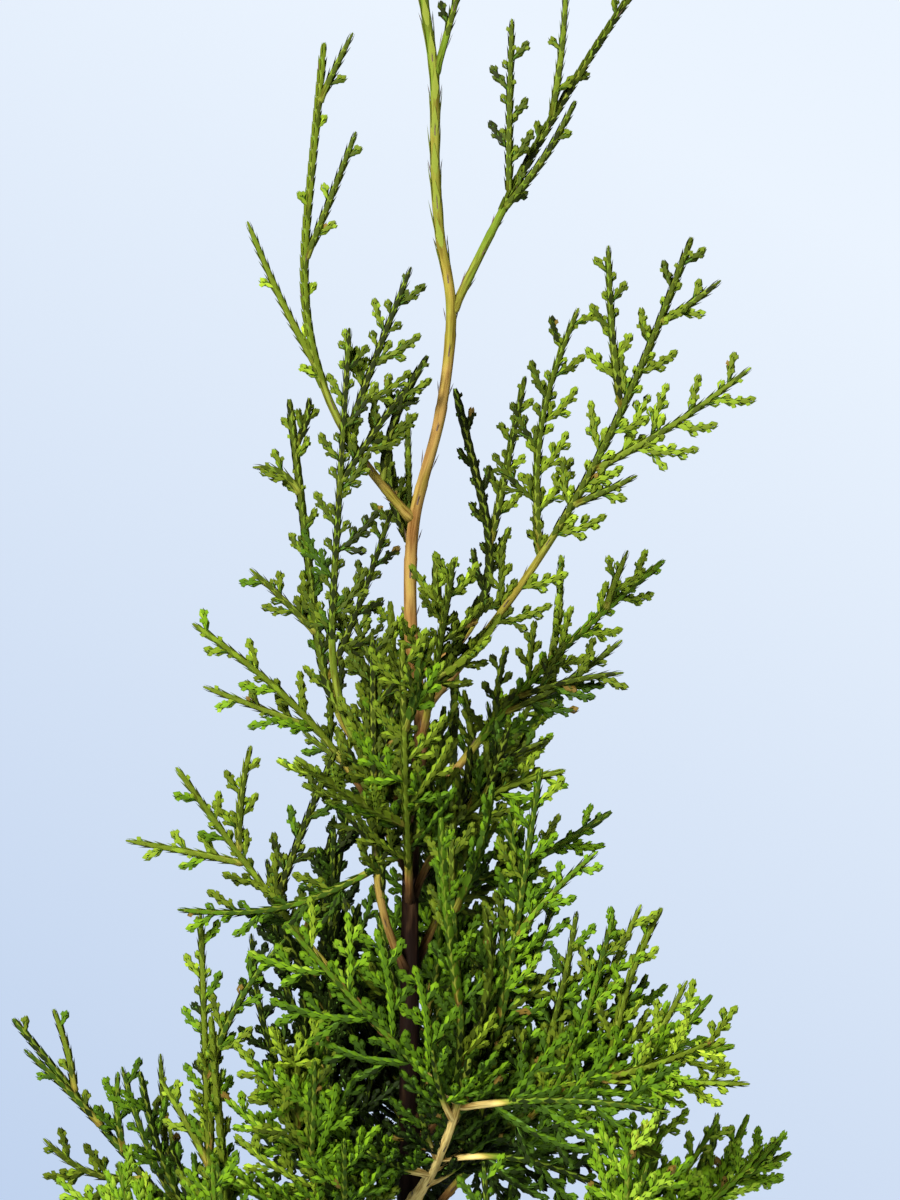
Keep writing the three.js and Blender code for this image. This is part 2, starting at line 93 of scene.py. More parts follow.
# Boughs: bearings run from +X toward +Y and rises from level, in degrees, sizes in millimetres
limbs = {
    "steps": 32,
    "footRadius": 0.6,
    "footShare": 0.0025,  # added to the foot radius for each millimetre of length
    "tipRadius": 0.5,
    "armFootRadius": 0.62,
    "armTipRadius": 0.42,
    "armBareShare": 0.12,
    "armClean": 1.0,  # an arm has no leaves before this
    "seed": 7000,
    "toneSpread": 0.18,  # how far the limbs of one mass differ in lightness
    "boughMesh": (36, 10),  # rings and sides
    "stemMesh": (22, 7),
    "boughLap": 0.6,  # bare wood runs on into the leafy stem
    "collar": 0.22,  # swelling where a bough comes out of the trunk
    "collarPlace": (1.5, 1.2),  # its middle and half width, in radii of the trunk
    "armCollar": 0.4,  # stands for the trunk's radius where an arm leaves a bough
    "buriedFoot": 0.45,  # share of the radius inside the wood that the limb leaves
    "tipShare": 0.4,  # share of the radius at the tip, and how much of the end narrows to it
    "tipTaper": 2.4,
    "ridges": 7,
    "sway": (0.8, 7.0),
    "fibreDepth": 0.10,
    "internode": 4.0,
    "leafBaseSwell": 0.10,
    "barkAgeAndShade": [(30, 0.12), (110, 0.21), (150, 0.39), (198, 0.48), (233, 0.74), (270, 0.76)],  # height, age; the lowest boughs get near black bark, painted shade over its own red-brown
    "woodAge": {  # boughs whose wood is paler or greener than their height gives
        "front_fan": 1.1, "fork_left": 0.54, "tan_stem": 0.47, "right_arch": 0.46, "left_mid": 0.74,
        "left_reach": 0.44,
    },
    "stemAge": 0.1,  # leafy stems are this much younger than bare wood, up to green
    "greenAge": 0.76,
    "creamFrom": 0.8,  # past this the wood is cream and stays so from its foot
    "greening": (-10.0, 16.0),  # the bark turns green from this far past the bare wood, over this length
    "footBlend": 9.0,  # over this length a bough's bark leaves that of the trunk
    "footYounger": 0.08,
    "cleanWood": {  # no leaves on the first of this bough and of its arms
        "front_fan": (37, 10), "right_arch": (38, 1), "tan_stem": (26, 1), "fork_left": (27, 1),
    },
    "cleanMost": 0.4,  # share of an arm that may be clean
    "stout": {"front_fan": 1.5},  # how much thicker that pale wood is
    "boughFields": ["name", "height", "bearing", "rise", "tipRise", "bend", "length", "roll",
                    "bare", "gap", "shoot", "grownArms", "fill", "tone"],
    # the tone column darkens masses at the back of the crown as painted shade and lightens a few at the front
    # as painted light
    "boughs": [
        ("leader_fork", 272, 5, 74, 77, 1.0, 28, 0, 7, 12.0, 4, 0, 0, -0.05),
        ("upper_right", 232.5, 28, 62, 52, 1.0, 82, 0, 20, 14.0, 4, 0, 0, -0.05),
        ("fork_left", 198, 205, 45, 96, 0.7, 85, 0, 15, 14.0, 4, 0, 0, 0.12),
        ("right_arch", 166, 335, 48, 68, 1.0, 92, 0, 18, 5.0, 11, 0, 0, -0.12),
        ("back_high", 178, 92, 44, 62, 1.0, 50, 0, 14, 5.0, 10, 1, 1, -0.22),
        ("back_top", 172, 40, 26, 108, 0.7, 57, 0, 16, 5.5, 8, 0, 0, -0.15),
        ("left_back", 152, 150, 32, 82, 0.5, 75, 0, 20, 5.5, 8, 0, 0, -0.22),
        ("left_mid", 149, 212, 42, 94, 0.5, 86, -30, 34, 5.0, 10.5, 0, 0, -0.05),
        ("left_spray", 139, 198, 62, 35, 1.0, 57, 0, 24, 5.0, 8, 0, 0, -0.13),
        ("right_mid", 147, 26, 50, 36, 1.0, 66, 0, 18, 4.6, 12, 0, 3, -0.16),
        ("front_top", 160, 283, 50, 54, 1.0, 40, 90, 9, 4.6, 13, 1, 2, -0.05),
        ("right_low", 134, 338, 68, 12, 1.0, 38, 20, 9, 4.2, 11, 0, 2, -0.05),
        ("front_mid", 134, 268, 48, 70, 1.0, 52, 100, 9, 4.4, 16, 0, 3, -0.05),
        ("tan_stem", 122, 236, 50, 89, 0.5, 60, 120, 20, 4.6, 14, 1, 3, 0.00),
        ("left_reach", 108, 200, 48, 54, 1.0, 64, 0, 28, 4.2, 8, 0, 0, -0.12),
        ("back_mid", 140, 96, 36, 62, 1.0, 60, 40, 12, 4.4, 15, 2, 3, -0.20),
        ("back_right", 122, 60, 46, 48, 1.0, 62, -45, 12, 4.2, 16, 2, 5, -0.20),
        ("front_upright", 94, 302, 25, 98, 0.5, 71, 60, 14, 4.6, 11, 2, 3, 0.06),
        ("right_upright", 98, 328, 26, 80, 0.5, 68, 40, 14, 4.4, 13, 1, 3, 0.00),
        ("front_fan", 84, 286, 28, 50, 1.0, 46, 90, 10, 3.8, 16, 0, 6, -0.18),
        ("left_upright", 44, 198, 31, 88, 0.7, 104, -20, 24, 4.6, 10, 1, 3, 0.06),
        ("right_wide", 78, 340, 52, 12, 1.0, 68, 20, 14, 4.4, 18, 1, 6, 0.00),
        ("left_front", 72, 232, 26, 80, 1.0, 57, 120, 12, 4.4, 22, 3, 3, 0.05),
        ("back_left", 66, 150, 42, 92, 0.5, 88, 25, 16, 5.0, 13, 3, 10, -0.30),
        ("back_low", 84, 86, 26, 62, 1.0, 76, 90, 16, 4.2, 24, 3, 16, -0.34),
        ("far_left", 52, 166, 28, 48, 0.7, 94, 0, 40, 10.0, 5, 0, 2, -0.26),
        ("far_right", 56, 16, 30, 23, 1.0, 76, 16, 20, 4.2, 16, 2, 9, 0.05),
        ("front_low", 37, 314, 26, 70, 1.0, 84, 45, 18, 4.2, 22, 4, 14, 0.00),
        ("front_left_low", 37, 216, 22, 64, 1.0, 80, 140, 14, 4.4, 25, 4, 12, -0.02),
        ("back_right_low", 28, 55, 12, 56, 1.0, 74, 60, 14, 4.2, 25, 4, 10, -0.22),
        ("back_left_low", 20, 120, 10, 54, 1.0, 74, -60, 14, 4.2, 25, 4, 10, -0.22),
    ],
    "trunkMasses": ["leader_fork", "front_top", "right_low", "front_mid"],  # no bare bough
    "armFields": ["name", "share", "bearing", "rise", "tipRise", "length", "roll", "gap", "shoot"],
    "arms": {  # by bough, and the other fields in order
        "upper_right": [(0.28, 345, 90, 88, 30, 0, 4.8, 7), (0.25, 340, 46, 62, 22, 0, 12.0, 3),
            (0.47, 0, 80, 88, 26, 0, 9.0, 4)],
        "fork_left": [(0.36, 185, 61, 68, 27, 0, 12.0, 3), (0.57, 350, 67, 69, 23, 0, 8.0, 4),
            (0.22, 10, 70, 68, 30, 170, 4.8, 10.5), (0.88, 0, 65, 63, 13, 0, 9.0, 3)],
        "right_arch": [(0.55, 350, 27, 38, 31, 0, 3.8, 11), (0.37, 12, 95, 67, 42, 0, 4.2, 11),
            (0.67, 8, 98, 91, 27, 0, 4.8, 7), (0.84, 350, 29, 39, 12, 0, 5.0, 5),
            (0.48, 340, 20, 26, 12, 0, 3.8, 6)],
        "back_top": [(0.51, 20, 77, 78, 30, 0, 5.0, 6)],
        "left_back": [(0.46, 186, 47, 42, 16, 0, 3.6, 7), (0.78, 186, 60, 0, 10, 0, 3.6, 5),
            (0.89, 30, 58, 86, 9, 0, 4.0, 4)],
        "left_mid": [(0.7, 20, 56, 52, 22, 170, 4.4, 8)],
        "left_spray": [(0.52, 178, 20, 21, 20, 0, 3.8, 6)],
        "right_mid": [(0.78, 355, 71, 67, 11, 0, 4.2, 6), (0.44, 345, 19, 7, 19, 0, 4.2, 9)],
        "right_low": [(0.5, 345, 62, 20, 19, 0, 4.2, 7)],
        "left_reach": [(0.69, 180, 12, 10, 20, 0, 3.8, 6), (0.72, 200, 89, 104, 18, 0, 3.8, 6),
            (0.56, 340, 69, 65, 27, 0, 4.0, 7)],
        "tan_stem": [(0.36, 190, -28, 6, 34, 0, 4.0, 9)],
        "right_upright": [(0.59, 345, 51, 41, 20, 0, 4.4, 7)],
        "left_upright": [(0.73, 356, 72, 50, 27, 0, 5.0, 7), (0.59, 170, 63, 56, 17, 0, 5.0, 6)],
        "back_left": [(0.5, 172, 60, 84, 30, 0, 5.0, 8), (0.35, 178, 55, 86, 40, 0, 5.0, 8),
            (0.65, 168, 50, 80, 26, 0, 5.0, 7)],
        "far_left": [(0.74, 182, 48, 42, 19, 0, 10.0, 3), (0.82, 170, 82, 68, 15, 0, 10.0, 3),
            (0.68, 20, 103, 86, 14, 0, 4.0, 6), (0.62, 200, 1, 46, 20, 0, 4.0, 9),
            (0.45, 100, 84, 88, 34, 80, 5.0, 5), (0.5, 190, 60, 75, 30, 0, 4.6, 9),
            (0.45, 215, 55, 78, 34, 0, 4.6, 10), (0.55, 120, 78, 84, 26, 60, 5.0, 5)],
        "front_fan": [(0.77, 205, 43, 48, 42, -20, 5.2, 20), (0.75, 338, 10, -6, 36, 5, 4.8, 18),
            (0.43, 345, 8, -22, 28, 5, 4.6, 16), (0.31, 200, 12, 23, 19, -10, 4.2, 12)],
        "right_wide": [(0.54, 340, 71, 76, 32, 0, 4.2, 11), (0.4, 335, 66, 80, 38, 10, 4.6, 10),
            (0.22, 350, 80, 86, 44, 0, 4.6, 10), (0.3, 345, 50, 82, 36, 10, 4.6, 9),
            (0.68, 20, 83, 60, 29, 0, 5.0, 7), (0.76, 350, 60, 63, 16, 0, 4.2, 8),
            (0.65, 330, 3, 2, 27, 0, 4.2, 9), (0.53, 330, -27, -17, 21, 60, 4.0, 11)],
        "far_right": [(0.45, 350, 55, 62, 28, 0, 4.4, 10), (0.6, 345, 50, 60, 24, 0, 4.4, 9),
            (0.75, 30, 40, 64, 18, 0, 5.0, 6), (0.86, 350, 39, 59, 10, 0, 4.2, 6)],
        "back_low": [(0.24, 78, -38, 30, 54, 25, 4.4, 18), (0.3, 112, -30, 34, 48, -25, 4.4, 17)],
        "back_right_low": [(0.3, 112, 56, 82, 52, 60, 4.4, 17)],
        "back_left_low": [(0.3, 66, 58, 84, 56, -60, 4.4, 17)],
    },
    # pairs are a least value and how much the draw adds, but a length is its share at the foot of the bough
    # and how that changes along it
    "grown": {
        "place": (0.3, 0.4), "after": 0.6, "turn": (28, 24), "rise": (-4, 14), "tipRise": (6, 26),
        "length": (0.62, -0.34), "swing": (0.8, 0.4), "roll": (-25, 50), "shoot": 0.66,
    },
    "fill": {  # finer arms on the boughs of the thick crown
        "share": (0.15, 0.55), "turn": (20, 45), "rise": (-36, 60), "lift": (8, 30),
        "length": (0.52, -0.30), "most": 26.0, "swing": (0.75, 0.5), "roll": (-22, 44), "shoot": 0.68,
        "inset": 6.5,  # tips end this far inside the solids' box
        "leastShare": 0.3,
        "seed": 5000,
    },
    "fineArms": [  # thin sprays within the reach of the listed arms
        ("fork_left", 0.1, 340, 82, 56, 23, 170, 4.4, 8),
        ("back_low", 0.22, 10, -12, 12, 32, 0, 4.2, 14),
        ("back_low", 0.22, 172, -12, 12, 32, 0, 4.2, 14),
        ("front_low", 0.36, 230, 72, 84, 44, -60, 4.4, 12),
        ("far_right", 0.5, 0, 62, 74, 32, 0, 4.4, 11),
        ("front_left_low", 0.4, 170, 74, 84, 44, 10, 4.4, 13),
        ("front_left_low", 0.5, 250, 70, 84, 40, -70, 4.4, 13),
        ("far_left", 0.43, 120, 82, 84, 44, 60, 5.0, 5),
        ("left_back", 0.35, 15, 66, 72, 32, -14, 4.4, 8),
        ("right_wide", 0.48, 350, 62, 66, 38, 0, 4.2, 12),
        ("right_upright", 0.3, 355, 60, 75, 30, 0, 4.2, 10),
        ("back_low", 0.24, 150, 50, 60, 34, 25, 4.2, 14),
        ("back_low", 0.24, 30, 50, 60, 34, -25, 4.2, 14),
        ("back_left", 0.25, 60, 62, 70, 36, -57, 4.4, 12),
        ("back_right_low", 0.22, 95, 62, 84, 46, 60, 4.4, 15),
        ("back_left_low", 0.22, 85, 62, 84, 46, -60, 4.4, 15),
    ],
}


def draw(key, salt):
    # a seeded number from 0 to 1 that depends on its two keys alone
    wave = np.sin(np.asarray(key, float) * 127.1 + salt * 311.7) * 43758.5453
    return wave - np.floor(wave)


def spread(rule, name, key, salt):
    # a rule's least value, and what the draw adds to it
    least, more = rule[name]
    return least + more * draw(key, salt)


def along(rule, name, share):
    # a rule's value at the foot, and what the share of the length adds to it
    foot, gain = rule[name]
    return foot + gain * share


def smooth(x):
    x = np.clip(x, 0, 1)
    return x * x * (3 - 2 * x)


def zone(place, limits):
    # a smooth step from 0 at the start of the zone to 1 past its width
    start, width = limits
    return smooth((place - start) / width)


def unit(v):
    return v / np.maximum(np.linalg.norm(v, axis=-1, keepdims=True), 1e-12)


def turns(sides):
    return np.linspace(0, 2 * np.pi, sides, endpoint=False)


def alternate(order):
    return np.where(order % 2 == 0, 1.0, -1.0)


def numbered(count):
    # owner and order of each thing, where each owner has its own count of them
    owner = np.repeat(np.arange(len(count)), count)
    return owner, np.arange(count.sum()) - np.repeat(np.cumsum(count) - count, count)


def turnAbout(v, axis, angle):
    # v turned about a unit axis: its part along the axis stays, the rest turns by the angle
    c, s = np.cos(angle)[..., None], np.sin(angle)[..., None]
    return v * c + np.cross(axis, v) * s + axis * np.sum(axis * v, -1, keepdims=True) * (1 - c)


def catmullRom(points, count):
    # uniform Catmull-Rom curve, with one mirrored point beyond each end
    p = np.array(points, float)
    p = np.vstack([2 * p[0] - p[1], p, 2 * p[-1] - p[-2]])
    t = np.linspace(0, len(p) - 3, count)
    i = np.minimum(t.astype(int), len(p) - 4)
    f = (t - i)[:, None]
    a, b, c, d = p[i], p[i + 1], p[i + 2], p[i + 3]
    return 0.5 * (2 * b + (c - a) * f + (2 * a - 5 * b + 4 * c - d) * f**2 + (3 * b - a - 3 * c + d) * f**3)


trunkLine = catmullRom(trunk["bends"], trunk["linePoints"])


def trunkAt(height):
    h = np.asarray(height, float)
    return np.stack([np.interp(h, trunkLine[:, 0], trunkLine[:, k]) for k in (1, 2)] + [h], -1)


def trunkRadius(height):
    # tip radius + taper to a power of what is left above + a flare that dies out upward
    left = np.clip(1 - np.asarray(height, float) / trunk["height"], 0, 1)
    taper = (trunk["footRadius"] - trunk["tipRadius"]) * left ** trunk["taperPower"]
    return trunk["tipRadius"] + taper + trunk["flareRadius"] * np.exp(-height / trunk["flareHeight"])


def walk(foot, directions, length):
    # points that follow the directions in even steps
    step = unit(directions[:, 1:] + directions[:, :-1]) * (length / (directions.shape[1] - 1))[:, None, None]
    return np.concatenate([foot[:, None], foot[:, None] + np.cumsum(step, 1)], 1)


def limbPaths(foot, bearing, rise, tipRise, bend, length, roll):
    # the rise goes by a smooth step to tipRise over the share bend, in the upright plane of the bearing
    t = np.linspace(0, 1, limbs["steps"] + 1)[None]
    climb = np.radians(rise[:, None] + (tipRise - rise)[:, None] * smooth(t / bend[:, None]))
    heading = np.radians(bearing)[:, None] + 0 * climb
    ahead = np.stack([np.cos(climb) * np.cos(heading), np.cos(climb) * np.sin(heading), np.sin(climb)], -1)
    across = np.stack([np.sin(heading), -np.cos(heading), 0 * heading], -1)
    normal = turnAbout(across, ahead, np.radians(roll)[:, None] + 0 * climb)
    return {"p": walk(foot, ahead, length), "t": ahead, "n": normal, "length": length}


def pathAt(paths, owner, distance):
    # point, direction and normal at a distance along each owner's path
    last = paths["p"].shape[1] - 1
    x = np.clip(distance / paths["length"][owner], 0, 1) * last
    i = np.minimum(x.astype(int), last - 1)
    w = (x - i)[:, None]
    p, t, n = (paths[k][owner, i] * (1 - w) + paths[k][owner, i + 1] * w for k in "ptn")
    return p, unit(t), unit(n)


def ringsAt(paths, owner, distance):
    # the same for a row of distances on each path
    who = np.repeat(owner, distance.shape[1])
    return [v.reshape(*distance.shape, 3) for v in pathAt(paths, who, distance.reshape(-1))]


def columns(rows, fields):
    return {f: np.array(column, None if f == "name" else float) for f, column in zip(fields, zip(*rows))}


def growLimbs():
    # boughs, then listed arms, arms grown by the seeded rule, fine arms and fill arms
    bough = columns(limbs["boughs"], limbs["boughFields"])
    names = list(bough["name"])
    paths = limbPaths(trunkAt(bough["height"]), bough["bearing"], bough["rise"], bough["tipRise"],
                      bough["bend"], bough["length"], bough["roll"])
    parts = [dict(paths, mass=np.arange(len(names)), **{k: bough[k] for k in ("bare", "gap", "shoot")})]

    def addArms(mass, foot, bearing, rise, tipRise, length, roll, gap, shoot):
        made = limbPaths(foot, bearing, rise, tipRise, np.ones(len(mass)), length, roll)
        parts.append(dict(made, mass=mass, bare=limbs["armBareShare"] * length, gap=gap, shoot=shoot))

    def onBough(mass, share):
        foot, ahead, _ = pathAt(paths, mass, share * bough["length"][mass])
        return foot, np.degrees(np.arcsin(ahead[:, 2]))

    def addListed(rows):
        arm = columns(rows, limbs["armFields"])
        mass = np.array([names.index(name) for name in arm["name"]])
        addArms(mass, onBough(mass, arm["share"])[0], *(arm[k] for k in limbs["armFields"][2:]))

    addListed([(name, *row) for name, rows in limbs["arms"].items() for row in rows])
    rule = limbs["grown"]
    count = bough["grownArms"].astype(int)
    mass, n = numbered(count)
    key = mass * 7 + n
    leafy = (bough["bare"] / bough["length"])[mass]
    share = leafy + (1 - leafy) * (n + spread(rule, "place", key, 21)) / (count[mass] + rule["after"])
    foot, climb = onBough(mass, share)
    bearing = bough["bearing"][mass] + spread(rule, "turn", key, 22) * alternate(n)
    length = (bough["length"] - bough["bare"])[mass] * along(rule, "length", share)
    rise, tipRise = climb + spread(rule, "rise", key, 24), climb + spread(rule, "tipRise", key, 25)
    roll = bough["roll"][mass] + spread(rule, "roll", key, 26)
    addArms(mass, foot, bearing, rise, tipRise, length * spread(rule, "swing", key, 23), roll,
            bough["gap"][mass], bough["shoot"][mass] * rule["shoot"])

    addListed(limbs["fineArms"])
    rule = limbs["fill"]
    count = bough["fill"].astype(int)
    mass, n = numbered(count)
    key = rule["seed"] + mass * 11 + n
    share = along(rule, "share", (n + draw(key, 51)) / count[mass])
    foot, climb = onBough(mass, share)
    rise = climb + spread(rule, "rise", key, 53)
    heading = [bough["bearing"][mass] + spread(rule, "turn", key, 52) * alternate(n), rise,
               rise + spread(rule, "lift", key, 54)]
    roll = bough["roll"][mass] + spread(rule, "roll", key, 56)
    length = np.minimum(bough["length"][mass] * along(rule, "length", share), rule["most"])
    length = length * spread(rule, "swing", key, 55)
    # an arm whose tip would pass the solids' box, less the inset, is shortened to end there
    stride = limbPaths(foot, *heading, np.ones(len(mass)), length, roll)["p"][:, -1] - foot
    low, high = np.array(cadBox) / mm
    room = np.where(stride > 0, high - foot, foot - low) - rule["inset"]
    shrink = np.clip(room / np.maximum(np.abs(stride), 0.001), rule["leastShare"], 1).min(axis=1)
    addArms(mass, foot, *heading, length * shrink, roll, bough["gap"][mass],
            bough["shoot"][mass] * rule["shoot"] * shrink)

    whole = {k: np.concatenate([part[k] for part in parts]) for k in parts[0]}
    mass, number = whole["mass"], np.arange(len(whole["mass"]))
    isBough = number < len(names)
    clean = np.where(isBough, whole["bare"], limbs["armClean"])
    for name, (boughClean, armClean) in limbs["cleanWood"].items():
        onArm = np.minimum(armClean, limbs["cleanMost"] * whole["length"])
        clean = np.where(mass == names.index(name), np.where(isBough, boughClean, onArm), clean)
    stout = np.array([limbs["stout"].get(name, 1.0) for name in names])
    tone = bough["tone"][mass] + limbs["toneSpread"] * (draw(number, 61) - 0.5)
    return dict(whole, isBough=isBough, clean=clean, leafless=np.maximum(whole["bare"], clean), tone=tone,
                stout=np.where(isBough, stout[mass], 1.0), key=limbs["seed"] + number), names


# Sprays: side shoots, their branchlets and the lobes of the branchlets, each in the plane of its parent.
# Angles are off the parent, and pairs are a least value and how much the draw adds, but a size is its share
# at the parent's foot and how that changes along it.
sprays = {
    "shoot": {
        "points": 11, "salt": 1, "firstAngle": (40, 16), "finalAngle": (20, 14), "lift": (0.08, 0.18),
        "twist": (-10, 20), "size": (1.04, -0.6), "swing": (0.8, 0.32), "least": 3.0,
        "shift": 0.02,  # how far off even spacing, as a share of the limb
        "afterBare": 2.0,
        "endGap": 3.0,
    },
    "branchlet": {
        "points": 7, "salt": 11, "firstAngle": (28, 10), "finalAngle": (15, 8), "lift": (0.04, 0.06),
        "twist": (-6, 12), "size": (1.1, -0.72), "swing": (0.78, 0.34), "least": 1.6,
        "wider": 15,  # added to both angles for a branchlet that is no longer a mere lobe
        "lobeSize": (1.8, 2.4),  # up to this size it is a lobe, and this much past it no longer
        "endGap": (1.0, 0.14),
        "mostEndGap": 2.4,
    },
    "limbBranchlets": {"first": 2.5, "gap": 3.0, "size": 0.5, "most": 9.0, "seed": 50000},
    "whipGap": 7.5,  # a limb with shoots wider apart is a whip, with no branchlets of its own
    "shootBranchlets": {"first": 1.2, "gap": 1.2, "size": (0.26, 0.011), "least": 1.8, "most": 8.0,
                        "open": 0.45, "seed": 90000},
    "lobes": {"first": 1.6, "gap": 1.7, "size": 0.43, "least": 1.8, "most": 2.9, "from": 4.2, "seed": 200000},
}


def slotsAlong(length, first, gap, endGap):
    # owner, order and distance of evenly spaced places on each path
    count = np.maximum(np.floor((length - endGap - first) / gap + 1), 0).astype(int)
    owner, order = numbered(count)
    return owner, order, (first + 0 * length)[owner] + order * (gap + 0 * length)[owner]


def sideTwigs(parent, owner, order, distance, size, key, rule, wider=0.0):
    # a side twig leaves at the first angle in its parent's plane and bends to the final one and up
    salt = rule["salt"]
    p, t, n = pathAt(parent, owner, distance)
    out = np.cross(n, t) * alternate(order + owner)[:, None]
    first = np.radians(spread(rule, "firstAngle", key, salt + 1) + wider)[:, None]
    final = np.radians(spread(rule, "finalAngle", key, salt + 2) + wider)[:, None]
    start = np.cos(first) * t + np.sin(first) * out
    lift = spread(rule, "lift", key, salt + 4)[:, None] * upward
    end = unit(np.cos(final) * t + np.sin(final) * out + lift)
    u = np.linspace(0, 1, rule["points"])[None, :, None]
    ahead = unit(start[:, None] * (1 - u) + end[:, None] * u)
    flat = turnAbout(n, start, np.radians(spread(rule, "twist", key, salt + 3)))[:, None]
    flat = unit(flat - ahead * np.sum(ahead * flat, -1, keepdims=True))
    return {"p": walk(p, ahead, size), "t": ahead, "n": flat, "length": size,
            "mass": parent["mass"][owner], "tone": parent["tone"][owner]}


def growShoots():
    rule = sprays["shoot"]
    owner, order, distance = slotsAlong(limb["length"], limb["bare"], limb["gap"], rule["endGap"])
    key = owner * 97 + order
    length, bare = limb["length"][owner], limb["bare"][owner]
    leafy = (distance - bare) / (length - bare)
    size = limb["shoot"][owner] * along(rule, "size", leafy) * spread(rule, "swing", key, rule["salt"])
    shift = (draw(key, rule["salt"] + 5) - 0.5) * rule["shift"] * length
    place = np.maximum(distance + shift, bare + rule["afterBare"])
    return dict(sideTwigs(limb, owner, order, place, np.maximum(size, rule["least"]), key, rule), key=key)


def growBranchlets(parent, first, gap, biggest, least, seed):
    rule = sprays["branchlet"]
    endGap = np.minimum(along(rule, "endGap", parent["length"]), rule["mostEndGap"])
    owner, order, distance = slotsAlong(parent["length"], first, gap, endGap)
    key = seed + owner * 53 + order
    size = biggest[owner] * along(rule, "size", distance / parent["length"][owner])
    size = np.maximum(size * spread(rule, "swing", key, rule["salt"]), least)
    wider = rule["wider"] * zone(size, rule["lobeSize"])
    made = sideTwigs(parent, owner, order, distance, size, key, rule, wider)
    return dict(made, key=parent["key"][owner])


def pick(paths, keep):
    return {k: v[keep] for k, v in paths.items()}


def growSprays():
    shoots = growShoots()
    least = sprays["branchlet"]["least"]
    rule = sprays["limbBranchlets"]
    isWhip = limb["gap"] > sprays["whipGap"]
    first = np.where(isWhip, limb["length"], limb["leafless"] + rule["first"])
    biggest = np.minimum(limb["shoot"], rule["most"]) * rule["size"]
    onLimbs = growBranchlets(limb, first, rule["gap"], biggest, least, rule["seed"])
    rule = sprays["shootBranchlets"]
    size = shoots["length"]
    biggest = np.clip(size * along(rule, "size", size), rule["least"], rule["most"])
    gap = np.maximum(rule["gap"], rule["open"] * biggest)
    onShoots = growBranchlets(shoots, rule["first"], gap, biggest, least, rule["seed"])
    rule = sprays["lobes"]
    long = pick(onShoots, onShoots["length"] > rule["from"])
    biggest = np.clip(long["length"] * rule["size"], rule["least"], rule["most"])
    lobes = growBranchlets(long, rule["first"], rule["gap"], biggest, rule["least"], rule["seed"])
    return {"shoot": shoots, "limbBranchlet": onLimbs, "branchlet": onShoots, "lobe": lobes}


limb, massNames = growLimbs()
spray = growSprays()
for kind, paths in spray.items():
    print("grown", len(paths["length"]), kind, "paths,", round(paths["length"].sum() / 1000, 2), "m")

# Scale leaves: pairs that stand crosswise, edge leaves folded over the rim and face leaves on both flats.
# Each is a fan of faces round its keel, the last corner. Corners are shares of the leaf's length, its reach
# out from the twig and its half width.
leaves = {
    "edgeLeaf": [(-0.05, 0.26, -0.85), (-0.05, 0.26, 0.85), (0.55, 0.4, 1.0), (1.1, 0.6, 0.0),
                 (0.55, 0.4, -1.0), (0.66, 1.08, 0.0)],
    "faceLeaf": [(-0.06, 0.76, 0.0), (0.52, 0.86, 0.6), (1.08, 0.95, 0.0), (0.52, 0.86, -0.6),
                 (0.6, 1.12, 0.0)],
    "stemEdgeLeaf": [(-0.05, 0.7, -0.8), (-0.05, 0.7, 0.8), (0.55, 0.8, 0.9), (1.05, 1.2, 0.0),
                     (0.55, 0.8, -0.9), (0.62, 1.06, 0.0)],
    "stemFaceLeaf": [(-0.06, 0.8, 0.0), (0.52, 0.88, 0.62), (1.06, 1.2, 0.0), (0.52, 0.88, -0.62),
                     (0.6, 1.1, 0.0)],
    "spur": [(0.0, 0.9, -0.16), (0.0, 0.9, 0.16), (0.5, 1.02, 0.1), (1.0, 1.42, 0.0), (0.5, 1.02, -0.1),
             (0.45, 1.2, 0.0)],
    "shoot": {"pitch": 1.8, "halfWidth": 0.72, "halfThickness": 0.5},
    "limbBranchlet": {"pitch": 1.7, "halfWidth": 0.82, "halfThickness": 0.5},
    "branchlet": {"pitch": 1.7, "halfWidth": 0.82, "halfThickness": 0.5},
    "lobe": {"pitch": 1.6, "halfWidth": 0.8, "halfThickness": 0.48},
    "limb": {"pitch": 2.2, "halfWidth": 0.16, "halfThickness": 0.10},  # over the wood of the stem
    "leader": {"pitch": 6.2, "halfWidth": 0.14, "halfThickness": 0.10, "from": 236.0, "foot": 1.0},
    "leaderTone": 0.1,
    # dry points of the leaf pairs on leader, whips and bare boughs
    "spurs": {"from": 168.0, "gap": 6.2, "length": 2.4, "swing": (0.7, 0.6), "stand": 0.05, "endGap": 0.6,
              "trunkFirst": 2.0, "boughFirst": 5.0},
    "twigFoot": 0.3,  # a twig's leaves start here
    "footWidth": (0.78, 1.6),  # share of the width at the foot of a twig, and where it is full
    "twigEnd": 0.9,  # share of the width at the end of a twig and of a stem
    "stemEnd": 0.6,
    "endPitches": 2.2,  # the end narrows over so many pitches
    "lastLength": 1.06,  # length of the last leaf, as a share of what is left of the twig
    "budClose": 0.62,  # the last edge pair closes over the bud, with its keels drawn back
    "budKeel": 0.3,
    "pieceLimit": 185000,  # triangles in one joined piece
}
